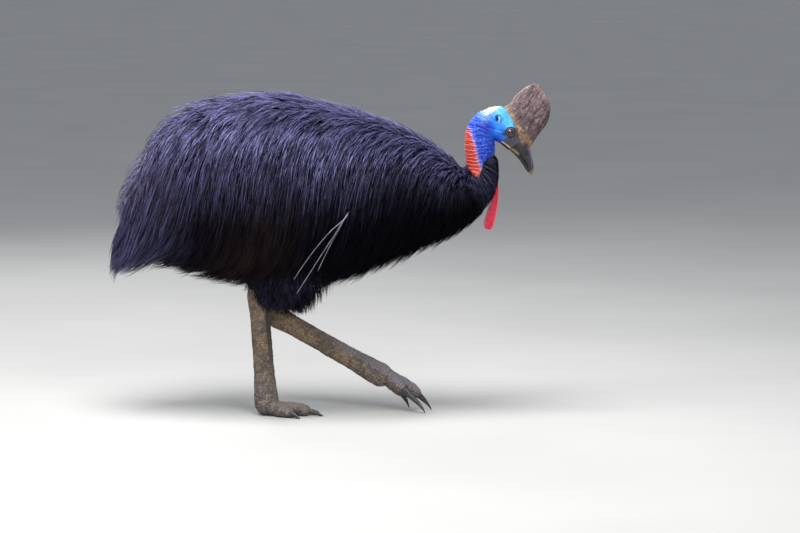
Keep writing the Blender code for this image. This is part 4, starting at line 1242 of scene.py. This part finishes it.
def leg_paths(side):
    """The tubes that a leg and its foot are melted from: name, rows of a path, and its level."""
    hock, foot = HOCK[side], BALL[side]
    cuff = cuff_point(side)
    up = (hock - foot).normalized()
    sole = foot - up * 0.02
    shank = [
        (cuff + (cuff - hock) * 0.9, 0.026, 0.024),
        (cuff, 0.027, 0.024),
        (cuff.lerp(hock, 0.35), 0.028, 0.025),
        (hock + up * 0.004, 0.031, 0.027),
        (hock.lerp(foot, 0.07), 0.031, 0.027),
        (hock.lerp(foot, 0.2), 0.0285, 0.0235),
        (hock.lerp(foot, 0.45), 0.0285, 0.0225),
        (hock.lerp(foot, 0.7), 0.0295, 0.024),
        (hock.lerp(foot, 0.88), 0.033, 0.029),
        (foot, 0.0345, 0.0345),
        (sole, 0.026, 0.027),
        (sole - up * 0.01, 0.014, 0.014),
    ]
    paths = [("shank", shank, Vector((0, 1, 0)))]
    for name, (_, length, _) in TOES.items():
        thick = 0.0205 if name == "middle" else 0.0185
        rows = [
            (0.0, 0.03, 0.023, 0.021),
            (length * 0.18, 0.0245, 0.0205, thick * 1.05),
            (length * 0.3, 0.0215, 0.021, thick * 1.12),
            *[(length * share, thick * height, thick * depth, thick * width)
              for share, height, depth, width in TOE_PADS],
        ]
        paths.append((name, *toe_path(side, name, rows)))
    return paths


def build_leg(side):
    """A bare leg and its foot, melted from tubes, then plated with scutes and painted."""
    forms = [tube(name, rows, 60, 28, level=level) for name, rows, level in leg_paths(side)]
    leg = melted(forms, "leg_skin_" + side, full_or_quick(*LEG_VOXELS), 5)
    places, normals = points_of(leg)
    height, tint = leg_finish(side, places, normals)
    emboss(leg, places, normals, height)
    write_values(leg, "tint", tint)
    write_values(leg, "scaled", np.ones(len(places)))
    return leg


def along_leg(side, places, normals):
    """For each point of a leg: whether it is on the shank, how far along its tube it lies, how far
    round it, and how much it faces the front."""
    nearest_yet = np.full(len(places), 9.0)
    found = np.zeros((4, len(places)))
    for name, rows, level in leg_paths(side):
        fine = smooth_rows(path_table(rows), 120)
        line = fine[:, :3]
        nearest = nearest_on(line, places)
        forward = unit(np.gradient(line, axis=0))
        front = unit(np.cross(level, forward)) * (-1 if name == "shank" else 1)
        aside = np.cross(forward, front)
        off = places - line[nearest]
        along, toward, across = ((off * way[nearest]).sum(axis=1) for way in (forward, front, aside))
        facing = (normals * front[nearest]).sum(axis=1)
        margin = np.linalg.norm(off, axis=1) - fine[nearest, 3]
        here = (np.full(len(places), name == "shank"), lengths_along(line)[nearest] + along,
                np.arctan2(across, toward), facing)
        found = np.where(margin < nearest_yet, here, found)
        nearest_yet = np.minimum(nearest_yet, margin)
    return found[0] > 0, *found[1:]


def leg_finish(side, places, normals):
    """How far the scutes and scales stand out, and the colours, on one leg, with painted shade and a
    painted highlight among them.
    """
    on_shank, passed, round_it, facing = along_leg(side, places, normals)
    drift = clouds(places, 0.02, 3)
    plate_size = np.where(on_shank, 0.012, 0.0078)
    place = (passed / plate_size + 0.16 * drift + 0.1 * np.sin(round_it * 3)) % 1.0
    plate = step(place, 0.0, 0.16) * step(place, 1.0, 0.9)
    on_plates = step(facing + 0.1 * drift, 0.6, 0.78) * np.where(on_shank, 0.9, 1.0)
    around = np.where(on_shank, 21.0, 15.0)
    rows = passed / 0.008 + 0.4 * clouds(places, 0.013, 10)
    lanes = (round_it / math.tau + 0.5) * around + 0.4 * clouds(places, 0.012, 11)
    scale, own = paving(rows, lanes, around, 4)
    height = on_plates * 0.0015 * plate * (1 - 0.4 * place) + (1 - on_plates) * 0.0011 * scale
    height += 0.0011 * drift + 0.0007 * clouds(places, 0.009, 8)

    x, _, z = places.T
    mottle = clouds(places * (1, 1, 0.45), 0.01, 5)
    wide = clouds(places, 0.045, 7)
    low = step(z, 0.19, 0.05)
    paint = Paint(len(places), (0.18, 0.13, 0.092))
    paint.lay(0.75 * step(wide, -0.2, 0.5) * (1 - low), (0.31, 0.205, 0.11))
    paint.lay(0.75 * low, (0.16, 0.14, 0.136))
    paint.lay(0.55 * step(-wide, 0.0, 0.7), (0.085, 0.064, 0.052))
    paint.lay(0.45 * (1 - on_plates) * step(own, 0.5, 1.0), (0.36, 0.28, 0.205))
    paint.lay(0.5 * (1 - on_plates) * step(own, 0.4, 0.05), (0.07, 0.05, 0.04))
    paint.lay(0.35 * step(mottle, 0.2, 0.9), (0.25, 0.2, 0.16))
    paint.lay(0.45 * step(-mottle, 0.2, 0.9), (0.055, 0.043, 0.038))
    # Painted shade down the front face of the right leg above the foot, and a painted grey-violet highlight
    # down the front of the left leg.
    if side == "right":
        paint.lay(0.85 * step(facing, 0.35, 0.6) * step(z, 0.08, 0.22), (0.034, 0.021, 0.016))
    else:
        strip = step(facing + 0.15 * mottle, 0.2, 0.5) * step(x, -0.03, 0.06)
        paint.lay(0.75 * strip, (0.215, 0.195, 0.225))
    paint.lay(0.8 * on_plates * (1 - plate), BLACK)
    paint.lay(0.55 * (1 - on_plates) * (1 - scale), BLACK)
    # Painted shade on the undersides near the floor.
    paint.lay(0.5 * step(-normals[:, 2], 0.4, 0.8) * step(z, 0.05, 0.03), (0.06, 0.05, 0.044))
    return height, paint.colours


# The harder pieces


def build_eyes(look):
    """Two balls, each with a bulging cornea that looks out to its side."""
    for side, sign in OUTWARD.items():
        bpy.ops.mesh.primitive_uv_sphere_add(segments=64, ring_count=40, radius=1)
        eye = bpy.context.object
        eye.name = eye.data.name = "eye_" + side
        places, _ = points_of(eye)
        out = np.arccos(np.clip(places[:, 2], -1, 1)) / (math.pi / 2)
        cornea = 1 + 0.07 * bump(out, 0.0, 0.42)
        ball = places[:, [0, 2, 1]] * (1, sign, 1) * (EYE_RADIUS * cornea)[:, None]
        put_points(eye, ball + np.array(on_head(0, sign * EYE_OUT, 0)))
        if sign > 0:
            eye.data.flip_normals()
        eye.data.shade_smooth()
        eye.data.materials.append(look)
        write_values(eye, "out", out)
        finish_piece(eye, "eye", "eye_" + side)


def build_casque(look):
    """The tall blade of horn on the head, with ridges that run up it and a rough crust at its base."""
    levels, sides = full_or_quick((110, 180), (60, 100))
    table = smooth_rows(CASQUE, levels + 1)
    rings = []
    for up, back, front, half in table:
        middle, reach = (back + front) / 2, (front - back) / 2
        rings.append([
            on_head(middle + reach * math.cos(a), half * curved(math.sin(a), 1.3), up)
            for a in circle(sides)
        ])
    up, back, front, _ = table[-1]
    ends = on_head(0, 0, table[0, 0]), on_head((back + front) / 2, 0, up + 0.001)
    casque = loft("casque_horn", rings, look, ends)
    places, normals = points_of(casque)
    rim = np.append(np.tile(np.cos(circle(sides)), levels + 1), (0, 0))
    height, tint = casque_finish(places, rim)
    emboss(casque, places, normals, height)
    write_values(casque, "tint", tint)
    finish_piece(casque, "horn", "casque")


def casque_finish(places, rim):
    """The casque's relief and colours: streaks that lean back as they rise, over a warty tan crust."""
    forward, side, up = head_frame(places)
    c, s = math.cos(CASQUE_LEAN), math.sin(CASQUE_LEAN)
    across, rising = forward * c + up * s, up * c - forward * s
    streaks = clouds(np.column_stack([across, side * 0.6, rising * 0.12]), 0.005, 2)
    fine = clouds(np.column_stack([across, side * 0.8, rising * 0.22]), 0.0026, 6)
    drift = clouds(places, 0.02, 4)
    lumps = clouds(places, 0.0058, 8)
    foot = 0.037 + 0.008 * step(forward, 0.02, 0.06) + 0.007 * drift + 0.003 * fine
    crust = step(up, foot + 0.006, foot - 0.008)
    height = (1 - crust) * (0.00075 * streaks + 0.00035 * fine + 0.001 * drift)
    height += crust * (0.0017 * np.maximum(lumps, -0.4) + 0.0006 * fine)
    height *= step(up, 0.146, 0.13) * 0.6 + 0.4

    paint = Paint(len(up), (0.098, 0.062, 0.068))
    paint.lay(0.5 * step(drift, -0.2, 0.8), (0.15, 0.104, 0.124))
    paint.lay(0.88 * step(-streaks, 0.05, 0.6), (0.03, 0.016, 0.022))
    paint.lay(0.65 * step(fine, 0.2, 0.9), (0.33, 0.225, 0.215))
    paint.lay(0.65 * step(-fine, 0.25, 0.9), (0.036, 0.02, 0.022))
    paint.lay(0.9 * crust, (0.19, 0.112, 0.066))
    paint.lay(0.75 * crust * step(lumps, 0.25, 0.95), (0.44, 0.29, 0.18))
    paint.lay(0.8 * crust * step(-lumps, 0.2, 0.8), (0.06, 0.034, 0.026))
    pale = step(rim, -0.965, -0.995) * step(up, 0.132, 0.118)
    paint.lay(0.75 * pale, (0.42, 0.32, 0.24))
    paint.lay(0.55 * step(up, 0.128, 0.142), (0.25, 0.15, 0.14))
    return height, paint.colours


def bill_finish(places, upper):
    """The relief and colours of the upper or the lower bill."""
    forward, side, up = head_frame(places)
    flakes = clouds(np.column_stack([forward * 0.35, side, up]), 0.0045, 2)
    height = 0.0003 * flakes
    paint = Paint(len(places), (0.012, 0.01, 0.012))
    paint.lay(0.6 * step(flakes, 0.1, 0.9), (0.048, 0.038, 0.048))
    paint.lay(0.5 * step(-flakes, 0.2, 0.9), (0.014, 0.011, 0.014))
    paint.lay(0.85 * step(forward, 0.124, 0.14), (0.48, 0.27, 0.16))
    edge = up - np.interp(forward, BILL[:, 0], BILL[:, 2])
    cream = bump(edge, 0.0018, 0.003) * step(forward, 0.076, 0.062) * step(np.abs(side), 0.004, 0.008)
    paint.lay(cream * (1.25 if upper else 0.4), (0.76, 0.6, 0.23))
    if upper:
        x = forward - NOSTRIL[0]
        from_nostril = np.hypot(x / 2.6, up - NOSTRIL[1] + 0.2 * x)
        height += 0.0007 * bump(from_nostril, 0.003, 0.001) - 0.0026 * bump(from_nostril, 0.0, 0.0017)
        groove = bump(up - (0.007 - 0.16 * (forward - 0.05)), 0.0, 0.0012)
        height -= 0.0007 * groove * step(forward, 0.045, 0.06) * step(forward, 0.115, 0.1)
        # A paler violet-grey band along the top of the upper bill: a painted highlight.
        culmen = step(up - np.interp(forward, BILL[:, 0], BILL[:, 1]), -0.01, -0.004)
        paint.lay(0.55 * culmen * step(forward, 0.058, 0.07), (0.15, 0.13, 0.19))
        paint.lay(0.8 * step(forward, 0.062, 0.046) * step(up, 0.004, 0.016), (0.2, 0.128, 0.088))
    return height, paint.colours


def build_bill(look):
    """The upper and lower bill, with a ridge along the top, nostrils and a hooked tip."""
    for name, table in (("upper", BILL), ("lower", LOWER_BILL)):
        bill = loft(f"bill_{name}_horn", head_rings(table, 70, 48, 1.85), look)
        places, normals = points_of(bill)
        height, tint = bill_finish(places, name == "upper")
        emboss(bill, places, normals, height)
        write_values(bill, "tint", tint)
        finish_piece(bill, "dark_horn", "bill_" + name)


def build_wattles(look):
    """The two long soft folds that hang from the front of the neck."""
    for side, sign in OUTWARD.items():
        rows = [(Vector((x, sign * y, z)), depth, width) for x, y, z, depth, width in WATTLE]
        wattle = tube("wattle_skin_" + side, rows, 110, 64, look)
        places, normals = points_of(wattle)
        x, _, z = places.T
        drift = clouds(places, 0.016, 5)
        middles, _, heights, depths, _ = zip(*reversed(WATTLE))
        share = (x - np.interp(z, heights, middles)) / np.interp(z, heights, depths)
        line = bump(share, 0.28 + 0.18 * drift, 0.09) * step(np.abs(normals[:, 1]), 0.5, 0.8)
        height = 0.0006 * drift + 0.0003 * clouds(places, 0.004, 3) - 0.0009 * line
        emboss(wattle, places, normals, height)
        write_values(wattle, "rim", 0.75 * step(np.abs(share), 0.7, 0.98))
        write_values(wattle, "line", 0.7 * line)
        finish_piece(wattle, "red_skin", "wattle_" + side)


def build_claws(look):
    """Six claws. The inner toe carries the long dagger claw."""
    for side in OUTWARD:
        for name, (_, length, claw_length) in TOES.items():
            thick = 0.0115 if name == "inner" else 0.009
            rows = [
                (length - 0.016, 0.012, thick * 0.8, thick * 0.75),
                (length - 0.006, 0.0128, thick * 0.98, thick * 0.88),
                (length + claw_length * 0.12, 0.013, thick, thick * 0.88),
                (length + claw_length * 0.5, 0.009, thick * 0.7, thick * 0.6),
                (length + claw_length * 0.85, 0.0036, thick * 0.34, thick * 0.3),
                (length + claw_length, 0.0012, 0.0012, 0.0012),
            ]
            path, level = toe_path(side, name, rows)
            claw = tube(f"claw_horn_{name}_{side}", path, 40, 28, look, level)
            places, normals = points_of(claw)
            ridges = 0.00008 * (np.sin(places[:, 0] * 700) + np.sin(places[:, 1] * 1900))
            emboss(claw, places, normals, ridges)
            finish_piece(claw, "dark_horn", f"claw_{name}_{side}")


def beside_flank(x, z, out, sign):
    """A point that stands out from the tips of the flank's plumage."""
    grid = trunk(np.linspace(6, 13, 160)[:, None], np.linspace(0.4, 2.6, 160), 1.0)
    near = np.abs(grid[..., 0] - x) + np.abs(grid[..., 2] - max(z, QUILL_FREE))
    spot = np.unravel_index(near.argmin(), near.shape)
    return Vector((x, sign * (abs(grid[spot][1]) + out), z))


def build_quills(look):
    """The bare shafts of each small wing. They leave the flank's plumage and hang down over it."""
    for side, sign in OUTWARD.items():
        shafts = []
        for end_x, end_z, sag in QUILLS:
            start, mouth = (beside_flank(*place, sign) for place in QUILL_ROOT)
            rows = [(start, QUILL_THICK, QUILL_THICK), (mouth, QUILL_THICK, QUILL_THICK)]
            for t in (0.3, 0.55, 0.8, 1):
                x = start.x + (end_x - start.x) * t - sag * math.sin(math.pi * t)
                z = start.z + (end_z - start.z) * t
                thick = QUILL_THICK * (1 - 0.6 * t)
                rows.append((beside_flank(x, z, 0.005, sign), thick, thick))
            shafts.append(tube("shaft", rows, 60, 12, look))
        finish_piece(joined(shafts, "quills_" + side), "quill", "wing_" + side)


def finish_piece(thing, slot, *nodes):
    """Hangs a piece on the bird, in place of its plain solids."""
    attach(thing, "root")
    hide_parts(*nodes)


# The studio


def build_studio():
    """The floor, the soft light and the camera."""
    bpy.ops.mesh.primitive_plane_add(size=240, location=(0, 80, 0))
    floor = bpy.context.object
    floor.name = "floor"
    floor.data.materials.append(floor_look())
    scene = bpy.context.scene
    scene.view_settings.view_transform = "Standard"
    scene.world = bpy.data.worlds.new("studio")
    scene.world.use_nodes = True
    sky = scene.world.node_tree.nodes["Background"].inputs
    sky["Color"].default_value, sky["Strength"].default_value = SKY
    for name, place, size, power in LAMPS:
        light = bpy.data.lights.new(name, "AREA")
        light.shape = "DISK"
        light.size = size
        light.energy = power
        lamp = placed(name, light)
        lamp.location = place
        lamp.rotation_euler = (Vector(LIT_POINT) - lamp.location).to_track_quat("-Z", "Y").to_euler()
    lens = bpy.data.cameras.new("camera")
    lens.sensor_width = SENSOR
    lens.lens = SENSOR * CAMERA_DISTANCE / math.cos(CAMERA_DOWN) / VIEW_WIDTH
    lens.clip_end = 400
    scene.camera = placed("camera", lens)
    scene.camera.location = (CAMERA_X, -CAMERA_DISTANCE, CAMERA_HEIGHT)
    scene.camera.rotation_euler = (math.pi / 2 - CAMERA_DOWN, 0, 0)


def main():
    for thing in list(bpy.data.objects):
        bpy.data.objects.remove(thing)
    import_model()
    build_studio()
    build_skin(skin_look())
    build_eyes(eye_look())
    build_casque(horn_look())
    build_bill(bill_look())
    build_wattles(wattle_look())
    build_claws(claw_look())
    build_quills(quill_look())
    build_coats()


main()
